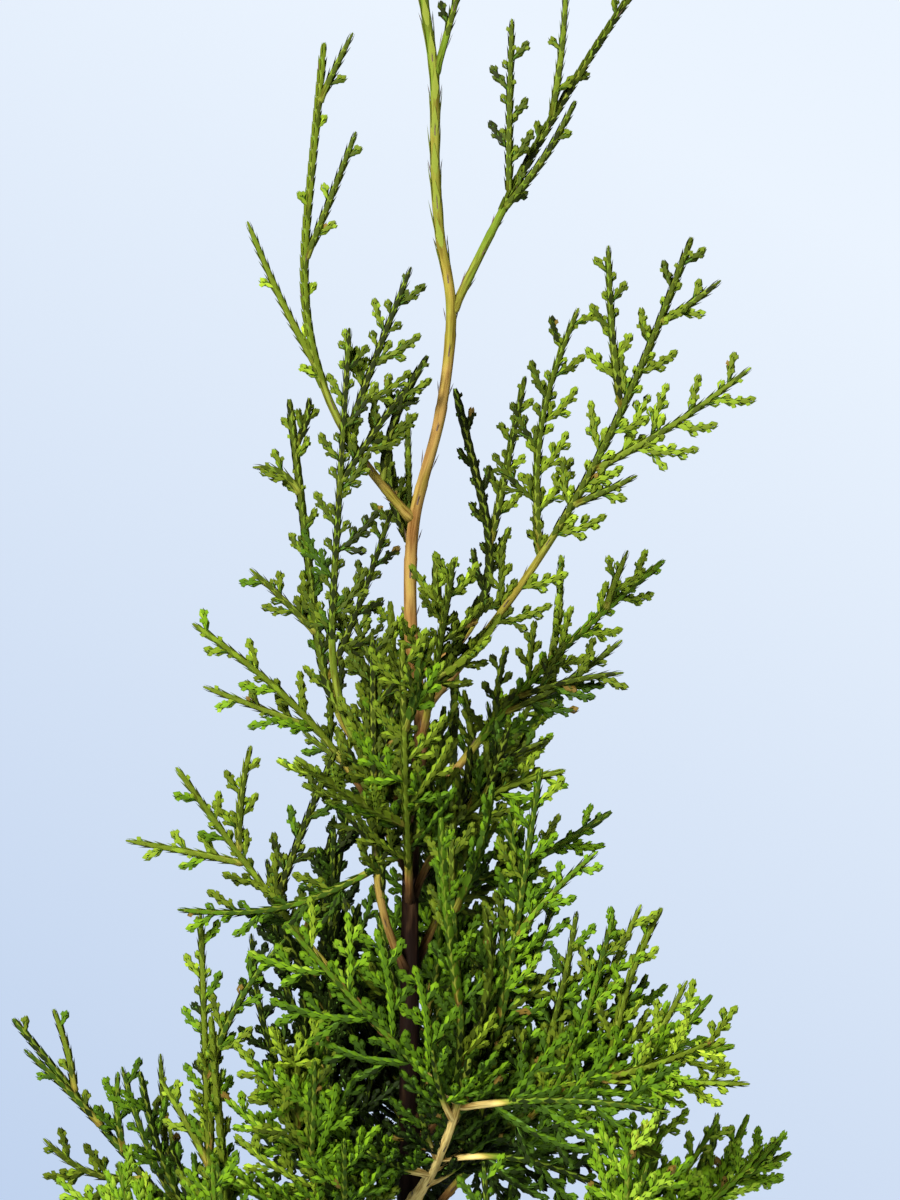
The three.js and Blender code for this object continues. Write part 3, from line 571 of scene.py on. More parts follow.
# Tint steps: how a leaf's green stands off its spray, and a spray's off the others by place, which paints
# light and shade: sprays inside the crown and low down are darker as painted shade, those at its edge lighter
# as painted light. A zone is where the change starts and how far it takes, in millimetres of height.
shading = {
    "crownReach": (64.0, 330.0, 6.0),  # radius at the ground, height where it ends, and what is added
    "lowZone": (120.0, -60.0),
    "upperZone": (90.0, 80.0),
    "topZone": (200.0, 50.0),
    "inside": (0.10, -0.07, 0.10),  # painted shade: lightness at the trunk, and what the low and upper zones add to it
    "outside": (0.56, 0.08, -0.3),  # painted light: what the crown's edge adds, and the low and top zones to that
    "sprayDraw": 0.2,
    "tipRoom": 1.4,  # steps that a spray stays below the freshest
    "leafDraw": 1.0,
    "tipLength": 1.6,  # the last of each branchlet is fresh growth
    "tipTint": 0.3,
    "edgeTint": 0.3,
    "faceTint": -0.55,
    "stemTint": -1.2,
    "stemShare": 0.3,  # leaves of a stem differ less from edge to face
    "stemRoom": 2,
    "oliveZone": (100.0, 110.0),  # more sprays are olive toward the top
    "warmMasses": {"left_front": 0.35, "left_upright": 0.6, "far_left": 0.5, "right_wide": 0.5,
                   "left_reach": 0.7},  # share of olive sprays lower down
    "dryShare": 0.012,  # share of the twigs that end in bronze, and how much of the end
    "dryLength": 2.6,
}
tints = {  # greens from the shaded inside of the crown to fresh tips, olives likewise, stems and dry ends
    "shadeGreen": "#141e04",
    "deepGreen": "#263908",
    "darkLeafGreen": "#3b550a",
    "leafGreen": "#526f0e",
    "springGreen": "#6c8420",
    "freshGreen": "#8c982c",
    "limeTip": "#a6aa42",
    "shadeOlive": "#171d04",
    "deepOlive": "#303a08",
    "darkLeafOlive": "#48540f",
    "leafOlive": "#5b6d16",
    "springOlive": "#72861d",
    "freshOlive": "#8b9e2a",
    "paleTip": "#a4b33e",
    "oliveStem": "#5e6620",
    "drySpur": "#4d3d33",
    "bronzeTip": "#5a491b",
}
tintOrder = list(tints)
freshest = tintOrder.index("limeTip")
olives = tintOrder.index("shadeOlive")
warm = np.array([shading["warmMasses"].get(name, 0.0) for name in massNames])


def sprayLightAndShade(key, tone, tip):
    # a spray's green by how far out of the crown it ends, painted shade inside and painted light at the edge,
    # with its mass's tone, partly painted shade, and a draw of its own
    height = tip[:, 2]
    radius, end, more = shading["crownReach"]
    off = tip - trunkAt(height)
    reach = np.hypot(off[:, 0], off[:, 1]) / (radius * (1 - height / end) + more)
    low, upper, top = (zone(height, shading[name]) for name in ("lowZone", "upperZone", "topZone"))
    inside = np.dot(shading["inside"], [1 + 0 * low, low, upper])
    outside = np.dot(shading["outside"], [1 + 0 * low, low, top])
    # painted shade toward the trunk and painted light toward the crown's edge
    paintedLightness = inside + outside * np.clip(reach, 0, 1) + tone + shading["sprayDraw"] * (draw(key, 31) - 0.5)
    return np.clip(paintedLightness * freshest, 0, freshest - shading["tipRoom"])


def leafTint(paths, owner, order, left, isStem):
    # the spray's tint, shifted for edge, face, tip and stem, then taken from greens or olives, or dry
    key = paths["key"][owner]
    tip = paths["p"][owner, -1]
    tint = sprayLightAndShade(key, paths["tone"][owner], tip)
    own = np.where(order % 2 == 1, shading["edgeTint"], shading["faceTint"])
    own = shading["stemShare"] * own + shading["stemTint"] if isStem else own
    tint = tint + shading["tipTint"] * (left < shading["tipLength"]) + own
    tint = tint + shading["leafDraw"] * (draw(key * 3.7 + owner + order, 33) - 0.5)
    tint = np.clip(tint, 0, freshest - shading["stemRoom"] * isStem).astype(int)
    olive = np.maximum(zone(tip[:, 2], shading["oliveZone"]), warm[paths["mass"][owner]])
    tint = np.where(draw(key, 39) < olive, tint + olives, tint)
    dry = (draw(key * 1.3 + owner, 37) < shading["dryShare"]) & (left < shading["dryLength"])
    return np.where(dry, tintOrder.index("bronzeTip"), tint)


def leafPairs(paths, kind, first, wood=None):
    # pairs at half a pitch, face and edge in turn, counted back from the tip so that each twig ends in a bud
    rule = leaves[kind]
    pitch = rule["pitch"]
    owner, order, left = slotsAlong(paths["length"], 0.5 * pitch, 0.5 * pitch, first)
    distance = paths["length"][owner] - left
    p, t, n = pathAt(paths, owner, distance)
    foot, full = leaves["footWidth"]
    end = leaves["twigEnd" if wood is None else "stemEnd"]
    narrow = foot + (1 - foot) * smooth(distance / full)
    narrow = narrow * (end + (1 - end) * smooth(left / (leaves["endPitches"] * pitch)))
    radius = 0 if wood is None else wood(owner, distance)
    return {"p": p, "t": t, "n": n, "edge": order % 2 == 1, "mass": paths["mass"][owner],
            "length": np.minimum(pitch, leaves["lastLength"] * left),
            "close": np.where(order == 1, leaves["budClose"], 1.0),
            "width": (radius + rule["halfWidth"]) * narrow,
            "thickness": (radius + rule["halfThickness"]) * narrow,
            "tint": leafTint(paths, owner, order, left, wood is not None)}


def spurPairs(paths, first, last, wood):
    # dry points that stand off the wood, in pairs that turn by a quarter from node to node
    rule = leaves["spurs"]
    owner, order, distance = slotsAlong(last, first, rule["gap"], rule["endGap"])
    p, t, n = pathAt(paths, owner, distance)
    stand = wood(owner, distance) + rule["stand"]
    return {"p": p, "t": t, "n": n, "edge": order % 2 == 0, "mass": paths["mass"][owner],
            "length": rule["length"] * spread(rule, "swing", paths["key"][owner] + 17 * order, 36),
            "close": np.ones(len(owner)), "width": stand, "thickness": stand,
            "tint": np.full(len(owner), tintOrder.index("drySpur"))}


def leafSkins(pairs, shape, isEdge):
    # a pair's two leaves are on opposite sides, edge leaves in the twig's plane and face leaves on its flats
    pairs = pick(pairs, pairs["edge"] == isEdge)
    ahead, out, across = np.array(leaves[shape]).T[:, None]
    count = ahead.shape[1]
    corner = np.arange(count)
    close = pairs["close"][:, None]
    out = np.where(corner == count // 2, out * close, out)
    ahead = np.where(corner == count - 1, ahead - leaves["budKeel"] * (1 - close), ahead)
    b = np.cross(pairs["n"], pairs["t"])
    outward, sideways = (b, pairs["n"]) if isEdge else (pairs["n"], b)
    reach, half = ("width", "thickness") if isEdge else ("thickness", "width")
    steps = pairs["p"][:, None] + pairs["t"][:, None] * (ahead * pairs["length"][:, None])[..., None]
    rise = outward[:, None] * (out * pairs[reach][:, None])[..., None]
    breadth = sideways[:, None] * (across * pairs[half][:, None])[..., None]
    verts = np.concatenate([steps + rise + breadth, steps - rise - breadth]).reshape(-1, 3)
    ring = np.arange(count - 1)
    fan = np.stack([ring, np.roll(ring, -1), 0 * ring + count - 1], -1)
    if not isEdge:
        fan = fan[:, ::-1]
    faces = (count * np.arange(2 * len(pairs["tint"]))[:, None, None] + fan).reshape(-1, 3)
    return verts, faces, np.repeat(np.tile(pairs["tint"], 2), count - 1)


def joinPairs(sets):
    return {k: np.concatenate([s[k] for s in sets]) for k in sets[0]}


def trunkPath(low):
    # the trunk from a height up as a path, so that its leaf pairs follow it
    p = trunkAt(np.linspace(low, trunk["height"], limbs["steps"] + 1))
    t = unit(np.gradient(p, axis=0))
    n = unit(frontward - t * (t @ frontward)[:, None])
    length = np.linalg.norm(np.diff(p, axis=0), axis=1).sum()
    return {"p": p[None], "t": t[None], "n": n[None], "length": np.array([length]), "mass": np.array([0]),
            "tone": np.array([leaves["leaderTone"]]), "key": np.array([1])}


def trunkWood(low):
    # the trunk's radius at a distance along the path that starts at this height
    return lambda owner, distance: trunkRadius(low + distance)


def limbWood(owner, distance):
    # a bough tapers by the square of what is left, from a foot that grows with its length, and an arm evenly
    left = 1 - distance / limb["length"][owner]
    foot = limbs["footRadius"] + limbs["footShare"] * limb["length"][owner]
    bough = limbs["tipRadius"] + (foot - limbs["tipRadius"]) * left**2
    arm = limbs["armTipRadius"] + (limbs["armFootRadius"] - limbs["armTipRadius"]) * left
    return np.where(limb["isBough"][owner], bough, arm) * limb["stout"][owner]


def growLeaves():
    # leaf pairs of the twigs, those of stems and leader, and dry spurs
    twigs = joinPairs([leafPairs(paths, kind, leaves["twigFoot"]) for kind, paths in spray.items()])
    stems = leafPairs(limb, "limb", limb["clean"], limbWood)
    rule = leaves["leader"]
    top = leafPairs(trunkPath(rule["from"]), "leader", rule["foot"], trunkWood(rule["from"]))
    top["tint"][:] = tintOrder.index("oliveStem")
    rule = leaves["spurs"]
    young = trunkPath(rule["from"])
    onTrunk = spurPairs(young, rule["trunkFirst"], young["length"], trunkWood(rule["from"]))
    isWhip = limb["isBough"] & (limb["gap"] > sprays["whipGap"])
    last = np.where(isWhip, limb["length"], np.where(limb["isBough"], limb["leafless"], 0))
    onBoughs = spurPairs(limb, rule["boughFirst"], last, limbWood)
    return twigs, joinPairs([stems, top]), joinPairs([onTrunk, onBoughs])


# Wood: tubes with relief. A skin is rings of points round a middle line, closed at both ends.
foldedMean = 0.6  # about the mean of a folded sine, taken off so that ridges don't thicken the wood


def stitch(index):
    # two triangles for each cell of a grid of points that closes round its last axis
    a, b = index[..., :-1, :], index[..., 1:, :]
    nextA, nextB = np.roll(a, -1, -1), np.roll(b, -1, -1)
    return np.concatenate([np.stack(cell, -1).reshape(-1, 3) for cell in ((a, nextA, nextB), (a, nextB, b))])


def skin(centre, sideA, sideB, radius):
    count, rings, sides = radius.shape
    turn = turns(sides)[:, None]
    around = sideA[:, :, None] * np.cos(turn) + sideB[:, :, None] * np.sin(turn)
    verts = centre[:, :, None] + around * radius[..., None]
    ends = centre[:, [0, -1]]
    index = np.arange(count * rings * sides).reshape(count, rings, sides)
    first, last = index[:, 0], index[:, -1]
    middle = count * rings * sides + 2 * np.arange(count)[:, None] + 0 * first
    caps = [np.stack([np.roll(first, -1, 1), first, middle], -1),
            np.stack([last, np.roll(last, -1, 1), middle + 1], -1)]
    faces = np.concatenate([stitch(index)] + [cap.reshape(-1, 3) for cap in caps])
    return np.concatenate([verts.reshape(-1, 3), ends.reshape(-1, 3)]), faces


def levelSides(centre):
    # sides for rings that lie level
    return [np.broadcast_to(axis, centre.shape) for axis in np.eye(3)[:2]]


def grainPlaces(radius, distance, age):
    # each point's place on the limb as if it were straightened, and the age of its bark
    turn = turns(radius.shape[2])
    height = np.broadcast_to(distance[..., None], radius.shape)
    straight = np.stack([radius * np.cos(turn), radius * np.sin(turn), height], -1).reshape(-1, 3)
    ends = distance[:, [0, -1]]
    ends = np.stack([0 * ends, 0 * ends, ends], -1).reshape(-1, 3)
    ages = np.broadcast_to(age[..., None], radius.shape).reshape(-1)
    return np.concatenate([straight, ends]), np.concatenate([ages, age[:, [0, -1]].reshape(-1)])


def sway(distance, amount, length, phase):
    # how far ridges wander round a limb: a slow sine of the distance along it
    return amount * np.sin(distance / length + phase)


def trunkAgeAndShade(height):
    return np.interp(height, *zip(*trunk["barkAgeAndShade"]))


def leafBases(distance, internode, turn):
    # each pair of leaf bases swells toward its node, crosswise to the next
    node = np.floor(distance / internode)
    return (distance / internode - node) ** 2 * np.maximum(np.cos(2 * (turn - node * np.pi / 2)), 0)


def trunkSkin():
    height = trunk["height"] * np.linspace(0, 1, trunk["rings"])
    turn = turns(trunk["sides"])[None]
    h = height[:, None]
    old = zone(h, trunk["oldBark"])
    lobes = np.exp(-h / trunk["flareHeight"]) * np.cos(trunk["rootLobes"] * turn)
    # stringy bark: folded sines, broad ones and fine ones, whose ridges wander slowly up the trunk
    broad, fine = trunk["ridges"]
    slow, quick, other = (sway(h, *rule) for rule in trunk["sways"])
    share = trunk["broadShare"]
    fibres = share * np.abs(np.sin(broad / 2 * turn + slow + quick))
    fibres = fibres + (1 - share) * np.abs(np.sin(fine / 2 * turn - other)) - foldedMean
    # loose strips: cells round and along the trunk, each raised by its own draw
    count = trunk["strips"]
    lane = np.floor(turn / (2 * np.pi) * count + sway(h, *trunk["stripSway"])) % count
    cell = np.floor(h / trunk["stripLength"] + draw(lane, 41))
    strips = draw(lane + count * cell, 42) - 0.5
    bases = trunk["leafBaseSwell"] * leafBases(h, trunk["internode"], turn)
    relief = old * (trunk["fibreDepth"] * fibres + trunk["stripDepth"] * strips)
    relief = relief + (1 - old) * (bases + trunk["youngFibreDepth"] * fibres)
    radius = (trunkRadius(h) * (1 + trunk["rootLobeDepth"] * lobes) * (1 + relief))[None]
    centre = trunkAt(height)[None]
    grain = grainPlaces(radius, height[None], trunkAgeAndShade(height)[None])
    return skin(centre, *levelSides(centre), radius), grain


def limbSkins(owner, start, end, mesh, woody):
    # tapered tubes with fine fibres, a collar at the trunk and a slight swelling at each leaf pair
    rings, sides = mesh
    distance = start[:, None] + (end - start)[:, None] * np.linspace(0, 1, rings)[None]
    p, t, n = ringsAt(limb, owner, distance)
    isBough, length, woody = (v[owner][:, None] for v in (limb["isBough"], limb["length"], woody))
    foot = np.where(isBough, trunkRadius(p[:, :1, 2]), limbs["armCollar"])
    radius = limbWood(owner[:, None], distance)
    middle, width = limbs["collarPlace"]
    radius = radius * (1 + limbs["collar"] * np.exp(-((distance - middle * foot) / (width * foot)) ** 2))
    buried, tip = limbs["buriedFoot"], limbs["tipShare"]
    radius = radius * (buried + (1 - buried) * smooth(distance / foot))
    radius = radius * (tip + (1 - tip) * smooth((length - distance) / limbs["tipTaper"]))
    turn = turns(sides)[None, None]
    d, seed = distance[..., None], owner[:, None, None]
    fibres = np.abs(np.sin(limbs["ridges"] / 2 * turn + seed + sway(d, *limbs["sway"], seed))) - foldedMean
    swell = limbs["leafBaseSwell"] * leafBases(d, limbs["internode"], turn)
    radius = radius[..., None] * (1 + limbs["fibreDepth"] * fibres + swell)
    green = zone(distance - limb["leafless"][owner][:, None], limbs["greening"])
    age = woody + (limbs["greenAge"] - woody) * green
    old = np.minimum(trunkAgeAndShade(p[:, :1, 2]), age) + limbs["footYounger"]
    blend = smooth((distance - foot) / limbs["footBlend"])
    age = old + (age - old) * np.where(isBough & (age <= limbs["creamFrom"]), blend, 1.0)
    return skin(p, n, np.cross(t, n), radius), grainPlaces(radius, distance, age)


# Finishes
plantIor = 1.45  # wood and leaf wax alike


def linear(hexColour):
    # sRGB hex to linear light
    c = np.array([int(hexColour[i:i + 2], 16) for i in (1, 3, 5)]) / 255
    c = np.where(c <= 0.04045, c / 12.92, ((c + 0.055) / 1.055) ** 2.4)
    return (*c.tolist(), 1.0)


def addNode(tree, kind, values, out=0, stops=()):
    # gives an output of a new node: a value that is a socket is linked, one whose key names an input is set
    # there, and any other is a setting of the node
    node = tree.nodes.new("ShaderNode" + kind)
    for key, value in values.items():
        if isinstance(value, bpy.types.NodeSocket):
            tree.links.new(value, node.inputs[key])
        elif isinstance(key, int) or key in node.inputs.keys():
            node.inputs[key].default_value = value
        else:
            setattr(node, key, value)
    for i, (place, colour) in enumerate(stops):
        stop = node.color_ramp.elements[i] if i < 2 else node.color_ramp.elements.new(place)
        stop.position, stop.color = place, linear(colour)
    return node.outputs[out] if len(node.outputs) else None


def newFinish(name):
    finish = bpy.data.materials.new(name)
    finish.use_nodes = True
    finish.node_tree.nodes.clear()
    return finish, finish.node_tree


def setSurface(tree, colour, grain, roughness, rule):
    # roughness and bump follow one pattern
    least, most = roughness
    strength, depth = rule["bump"]
    rough = addNode(tree, "MapRange", {"To Min": least, "To Max": most, "Value": grain})
    bump = addNode(tree, "Bump", {"Strength": strength, "Distance": depth * mm, "Height": grain})
    shader = addNode(tree, "BsdfPrincipled", {"Base Color": colour, "IOR": plantIor, "Roughness": rough,
                                              "Specular IOR Level": rule["specular"], "Normal": bump})
    addNode(tree, "OutputMaterial", {"Surface": shader})


# Wood and bark: thin fibrous bark, red-brown and shed in narrow strips on the old trunk, smooth and tan where
# it is younger, still green under the last leaf bases. Matte, with fibres that run along the limb. Low on the
# trunk and on the lowest boughs the old bark is darkened to near black as painted shade.
bark = {
    "trunkFibre": (0.7, 9.0),  # width and length of a fibre in millimetres
    "boughFibre": (0.35, 5.0),
    "patch": 1.923,  # width of a patch of older or younger bark in millimetres
    "patchStretch": 0.3,  # that width as a share of its length
    "patchAge": 0.28,
    # the darkest steps, near black, are painted shade on the old bark low down, over its own red-brown
    "ages": [(0.0, "#0c0705"), (1.0, "#cdb66e"), (0.11, "#180e09"), (0.23, "#4a3620"), (0.38, "#7a5a30"),
             (0.475, "#7d6733"), (0.545, "#736926"), (0.67, "#656a24"), (0.775, "#4f6318"),
             (0.84, "#55681a"), (0.89, "#75712c"), (0.94, "#a8944e")],
    "fibreShade": "#a08a6c",
    "fibreEdges": (0.42, 0.68),  # noise at which the shade starts and is full
    "roughness": (0.62, 0.9),
    "specular": 0.04,
    "bump": (0.5, 0.12),  # strength, and depth in millimetres
}


def barkFinish(name, fibre):
    finish, tree = newFinish(name)
    width, length = (1 / (size * mm) for size in fibre)
    place = addNode(tree, "Attribute", {"attribute_name": "straightPlace"}, "Vector")
    age = addNode(tree, "Attribute", {"attribute_name": "barkAgeAndShade"}, "Fac")
    grain = addNode(tree, "Mapping", {"Scale": (width, width, length), "Vector": place})
    fibres = addNode(tree, "TexNoise", {"Scale": 1.0, "Detail": 5.0, "Roughness": 0.6, "Vector": grain})
    streak = addNode(tree, "Mapping", {"Scale": (1.0, 1.0, bark["patchStretch"]), "Vector": place})
    patch = addNode(tree, "TexNoise", {"Scale": 1 / (bark["patch"] * mm), "Detail": 2.0, "Vector": streak})
    change = bark["patchAge"]
    shift = addNode(tree, "Math", {"operation": "MULTIPLY_ADD", 0: patch, 1: change, 2: -0.5 * change})
    patchedAgeAndShade = addNode(tree, "Math", {"operation": "ADD", 0: age, 1: shift})
    # the oldest, lowest bark comes out near black: painted shade
    ground = addNode(tree, "ValToRGB", {"Fac": patchedAgeAndShade}, stops=bark["ages"])
    least, most = bark["fibreEdges"]
    lines = addNode(tree, "MapRange", {"From Min": least, "From Max": most, "Value": fibres})
    dark = addNode(tree, "Mix", {"data_type": "RGBA", "blend_type": "MULTIPLY", 0: lines, 6: ground,
                                 7: linear(bark["fibreShade"])}, 2)
    setSurface(tree, dark, fibres, bark["roughness"], bark)
    return finish


# Scale leaf: a thin waxy cuticle over a firm green leaf. Satin, a little uneven, one plain green to a tint.
wax = {
    "grain": 0.5,  # width of the unevenness in millimetres
    "bump": (0.25, 0.05),  # strength, and depth in millimetres
    "unevenness": (-0.1, 0.12),
    "specular": 0.06,
    "leafRoughness": 0.58,
    "twigRoughness": 0.6,
    "twigColour": "#3d571c",
}


def leafFinish(name, colour, roughness):
    finish, tree = newFinish(name)
    place = addNode(tree, "TexCoord", {}, "Object")
    film = addNode(tree, "TexNoise", {"Scale": 1 / (wax["grain"] * mm), "Detail": 2.0, "Vector": place})
    setSurface(tree, linear(colour), film, [roughness + change for change in wax["unevenness"]], wax)
    return finish


def putMesh(name, verts, faces, finishes, finishIndex=None, attributes=None):
    mesh = bpy.data.meshes.new(name)
    mesh.vertices.add(len(verts))
    mesh.vertices.foreach_set("co", (verts * mm).astype(np.float32).ravel())
    mesh.loops.add(len(faces) * 3)
    mesh.loops.foreach_set("vertex_index", faces.astype(np.int32).ravel())
    mesh.polygons.add(len(faces))
    mesh.polygons.foreach_set("loop_start", np.arange(0, 3 * len(faces), 3, dtype=np.int32))
    for finish in finishes:
        mesh.materials.append(finish)
    if finishIndex is not None:
        mesh.polygons.foreach_set("material_index", finishIndex.astype(np.int32))
    mesh.update(calc_edges=True)
    mesh.polygons.foreach_set("use_smooth", np.ones(len(faces), bool))
    for attribute, values in (attributes or {}).items():
        kind, field = ("FLOAT_VECTOR", "vector") if values.ndim == 2 else ("FLOAT", "value")
        layer = mesh.attributes.new(attribute, kind, "POINT")
        layer.data.foreach_set(field, values.astype(np.float32).ravel())
    piece = bpy.data.objects.new(name, mesh)
    bpy.context.scene.collection.objects.link(piece)
    return piece


def addPiece(piece, nodes=()):
    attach(piece, "root")
    if len(nodes):
        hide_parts(*nodes)
    print("made", piece.name, len(piece.data.polygons), "triangles")


def addWood(name, finish, skinAndGrain, nodes=()):
    (verts, faces), (straight, age) = skinAndGrain
    piece = putMesh(name, verts, faces, [finish], None, {"straightPlace": straight * mm, "barkAgeAndShade": age})
    addPiece(piece, nodes)


# Trunk, bare boughs and leafy stems
barkOfTrunk = barkFinish("stringyBark", bark["trunkFibre"])
barkOfBoughs = barkFinish("smoothBoughBark", bark["boughFibre"])
addWood("trunkBark", barkOfTrunk, trunkSkin(), ["trunk"])

every = np.arange(len(limb["mass"]))
woody = np.interp(limb["p"][:, 0, 2], *zip(*limbs["barkAgeAndShade"]))
for name, known in limbs["woodAge"].items():
    woody = np.where(limb["mass"] == massNames.index(name), known, woody)
bare = every[limb["isBough"]]
boughEnd = limb["bare"][bare] + limbs["boughLap"]
addWood("boughWood", barkOfBoughs, limbSkins(bare, 0 * boughEnd, boughEnd, limbs["boughMesh"], woody),
        ["bough_" + name for name in massNames if name not in limbs["trunkMasses"]])

start = np.where(limb["isBough"], limb["bare"], 0.0)
younger = np.minimum(woody + limbs["stemAge"], limbs["greenAge"])
younger = np.where(woody > limbs["creamFrom"], woody, younger)
addWood("leafyStems", barkOfBoughs, limbSkins(every, start, limb["length"], limbs["stemMesh"], younger))

# Twigs under the leaves: sides, then for each ring its share of the twig's length and of its leaves' width
twigTubes = {
    "shoot": (4, [(0.0, 0.5), (0.5, 0.56), (0.93, 0.4)]),
    "limbBranchlet": (3, [(0.0, 0.52), (0.9, 0.44)]),
    "branchlet": (3, [(0.0, 0.52), (0.9, 0.44)]),
}


def twigSkins(kind, sides, stops):
    # flat tubes with an oval section that follows the leaves' width and thickness
    paths, rule = spray[kind], leaves[kind]
    count = len(paths["length"])
    share, full = np.array(stops).T[:, None]
    p, t, n = ringsAt(paths, np.arange(count), paths["length"][:, None] * share)
    turn = turns(sides)
    oval = 1 / np.hypot(np.cos(turn) / rule["halfThickness"], np.sin(turn) / rule["halfWidth"])
    radius = np.broadcast_to(oval, (count, len(stops), sides)) * full[..., None]
    return skin(p, n, np.cross(t, n), radius)


def joinSkins(skins):
    offset = np.cumsum([0] + [len(verts) for verts, _ in skins[:-1]])
    return np.concatenate([v for v, _ in skins]), np.concatenate([f + o for (_, f), o in zip(skins, offset)])


twigs = joinSkins([twigSkins(kind, *tube) for kind, tube in twigTubes.items()])
twigFinish = leafFinish("greenTwig", wax["twigColour"], wax["twigRoughness"])
addPiece(putMesh("sprayTwigs", *twigs, [twigFinish]))

# Leaves, joined by the masses that they replace
kinds = growLeaves()
leafFinishes = [leafFinish(name, colour, wax["leafRoughness"]) for name, colour in tints.items()]
pairFaces = [2 * (len(leaves[shape]) - 1) for shape in ("edgeLeaf", "faceLeaf")]
massTriangles = sum(np.bincount(pairs["mass"], np.where(pairs["edge"], *pairFaces), len(massNames))
                    for pairs in kinds)
groups, room = [[]], leaves["pieceLimit"]
for mass, triangles in enumerate(massTriangles):
    if triangles > room:
        groups.append([])
        room = leaves["pieceLimit"]
    groups[-1].append(mass)
    room -= triangles
shapes = [("edgeLeaf", "faceLeaf"), ("stemEdgeLeaf", "stemFaceLeaf"), ("spur", "spur")]
for number, group in enumerate(groups, 1):
    made = []
    for pairs, (edgeShape, faceShape) in zip(kinds, shapes):
        own = pick(pairs, np.isin(pairs["mass"], group))
        made += [leafSkins(own, edgeShape, True), leafSkins(own, faceShape, False)]
    verts, faces = joinSkins([leaf[:2] for leaf in made])
    tint = np.concatenate([leaf[2] for leaf in made])
    piece = putMesh(f"leafSprays{number}", verts, faces, leafFinishes, tint)
    addPiece(piece, ["foliage_" + massNames[mass] for mass in group])

# Floor, light and camera
stage = {
    "floorRadius": 0.46,
    "floorColour": "#c6cfda",
    "floorGrit": 3.0,  # millimetres
    "floorRoughness": (0.75, 0.9),
    "floorMesh": (24, 96),  # rings and sides
    "floorMiddle": 0.02,  # share of the radius at the first ring
    "backdropRadius": 4.0,
    "backdropMesh": (48, 96),
    "backdropEnd": 0.499,  # the last ring's height as an angle, in half turns
    "backdropLow": (-0.9, "#bfd2ee"),  # height in metres and colour
    "backdropHigh": (0.9, "#ebf4ff"),
    "backdropTilt": 0.5,  # how much lighter it gets toward the right, as a share of the change with height
    "ambient": 0.036,
    "ambientColour": "#fff8ea",
    "softboxes": {  # place and size in metres, power in watts
        "keySoftbox": ((-0.45, -0.9, 0.75), 0.4, 50.0),
        "fillSoftbox": ((0.7, -0.6, 0.35), 0.6, 3.4),
    },
    "aim": (0.0, 0.0, 0.17),
    "cameraPlace": (0.007, -0.6, 0.185),
    "lens": 108.0,
    "sensor": 36.0,
    "clipStart": 0.01,
}


def floorDisc():
    # rings of points from the middle to the rim, level at the ground
    rings, sides = stage["floorMesh"]
    r = np.linspace(stage["floorMiddle"], 1, rings)[:, None] * stage["floorRadius"] / mm
    turn = turns(sides)
    verts = np.stack([r * np.cos(turn), r * np.sin(turn), 0 * r * turn], -1).reshape(-1, 3)
    index = np.arange(rings * sides).reshape(rings, sides)
    middle = np.stack([0 * index[0] + rings * sides, index[0], np.roll(index[0], -1)], -1)
    return np.concatenate([verts, [[0, 0, 0]]]), np.concatenate([stitch(index)[:, ::-1], middle])


def backdropBall():
    # a sphere round floor and camera, facing in: rings at the sine of each angle, as wide as its cosine
    rings, sides = stage["backdropMesh"]
    rise = np.linspace(-1, 1, rings) * stage["backdropEnd"] * np.pi
    size = stage["backdropRadius"] / mm
    centre = size * np.sin(rise)[None, :, None] * upward
    radius = np.broadcast_to(size * np.cos(rise)[None, :, None], (1, rings, sides))
    verts, faces = skin(centre, *levelSides(centre), radius)
    return verts, faces[:, ::-1]


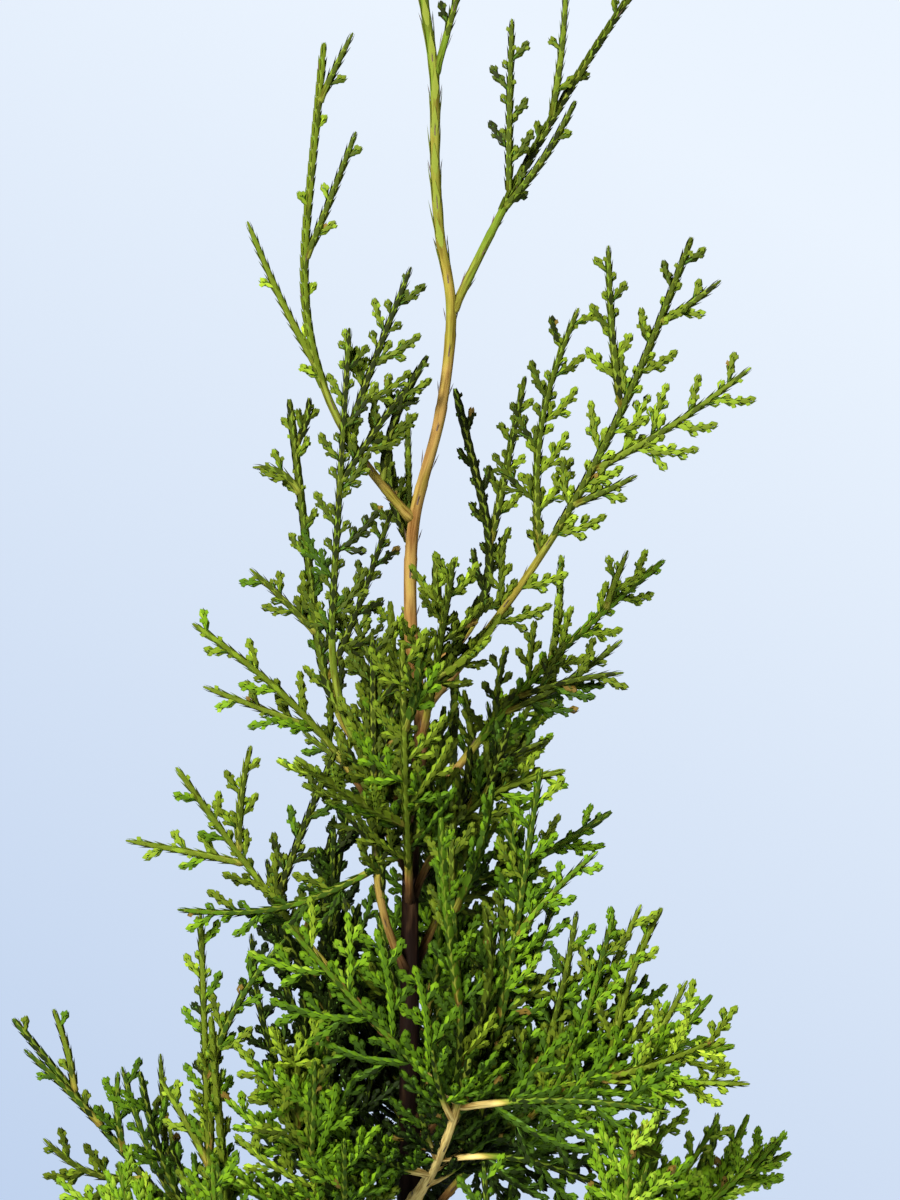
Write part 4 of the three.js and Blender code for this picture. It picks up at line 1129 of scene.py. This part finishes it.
# Floor: a board with matte paint, a little rough to the eye
floorFinish, tree = newFinish("matteFloorPaint")
place = addNode(tree, "TexCoord", {}, "Object")
grit = addNode(tree, "TexNoise", {"Scale": 1 / (stage["floorGrit"] * mm), "Detail": 3.0, "Vector": place})
least, most = stage["floorRoughness"]
dull = addNode(tree, "MapRange", {"To Min": least, "To Max": most, "Value": grit})
shader = addNode(tree, "BsdfPrincipled", {"Base Color": linear(stage["floorColour"]), "Roughness": dull})
addNode(tree, "OutputMaterial", {"Surface": shader})
putMesh("floor", *floorDisc(), [floorFinish])

# Backdrop: pale paper whose light is painted as a glow, darker low down and lighter higher up and toward the
# right, so that it seems lit
backdropFinish, tree = newFinish("glowingBackdropPaintedLight")
place = addNode(tree, "TexCoord", {}, "Object")
(lowest, lowColour), (highest, highColour) = stage["backdropLow"], stage["backdropHigh"]
tilted = addNode(tree, "VectorMath", {"operation": "DOT_PRODUCT", 0: place,
                                      1: (stage["backdropTilt"], 0.0, 1.0)}, "Value")
height = addNode(tree, "MapRange", {"From Min": lowest, "From Max": highest, "Value": tilted})
shade = addNode(tree, "ValToRGB", {"Fac": height}, stops=[(0.0, lowColour), (1.0, highColour)])
glow = addNode(tree, "Emission", {"Strength": 1.0, "Color": shade})
addNode(tree, "OutputMaterial", {"Surface": glow})
backdrop = putMesh("backdrop", *backdropBall(), [backdropFinish])
backdrop.visible_diffuse = backdrop.visible_glossy = backdrop.visible_shadow = False  # it lights nothing

world = bpy.data.worlds.new("softAmbient")
bpy.context.scene.world = world
world.use_nodes = True
tree = world.node_tree
tree.nodes.clear()
glow = addNode(tree, "Background", {"Color": linear(stage["ambientColour"]), "Strength": stage["ambient"]})
addNode(tree, "OutputWorld", {"Surface": glow})

for name, (place, size, power) in stage["softboxes"].items():
    lamp = bpy.data.lights.new(name, "AREA")
    lamp.shape, lamp.size, lamp.energy = "DISK", size, power
    softbox = bpy.data.objects.new(name, lamp)
    softbox.location = place
    softbox.rotation_euler = (Vector(stage["aim"]) - Vector(place)).to_track_quat("-Z", "Y").to_euler()
    bpy.context.scene.collection.objects.link(softbox)

camera = bpy.data.objects.new("camera", bpy.data.cameras.new("camera"))
camera.location = stage["cameraPlace"]
camera.rotation_euler = (np.pi / 2, 0, 0)  # level
camera.data.lens = stage["lens"]
camera.data.sensor_width = stage["sensor"]
camera.data.clip_start = stage["clipStart"]
bpy.context.scene.collection.objects.link(camera)
bpy.context.scene.camera = camera
bpy.context.scene.view_settings.view_transform = "Standard"

bpy.context.view_layer.update()
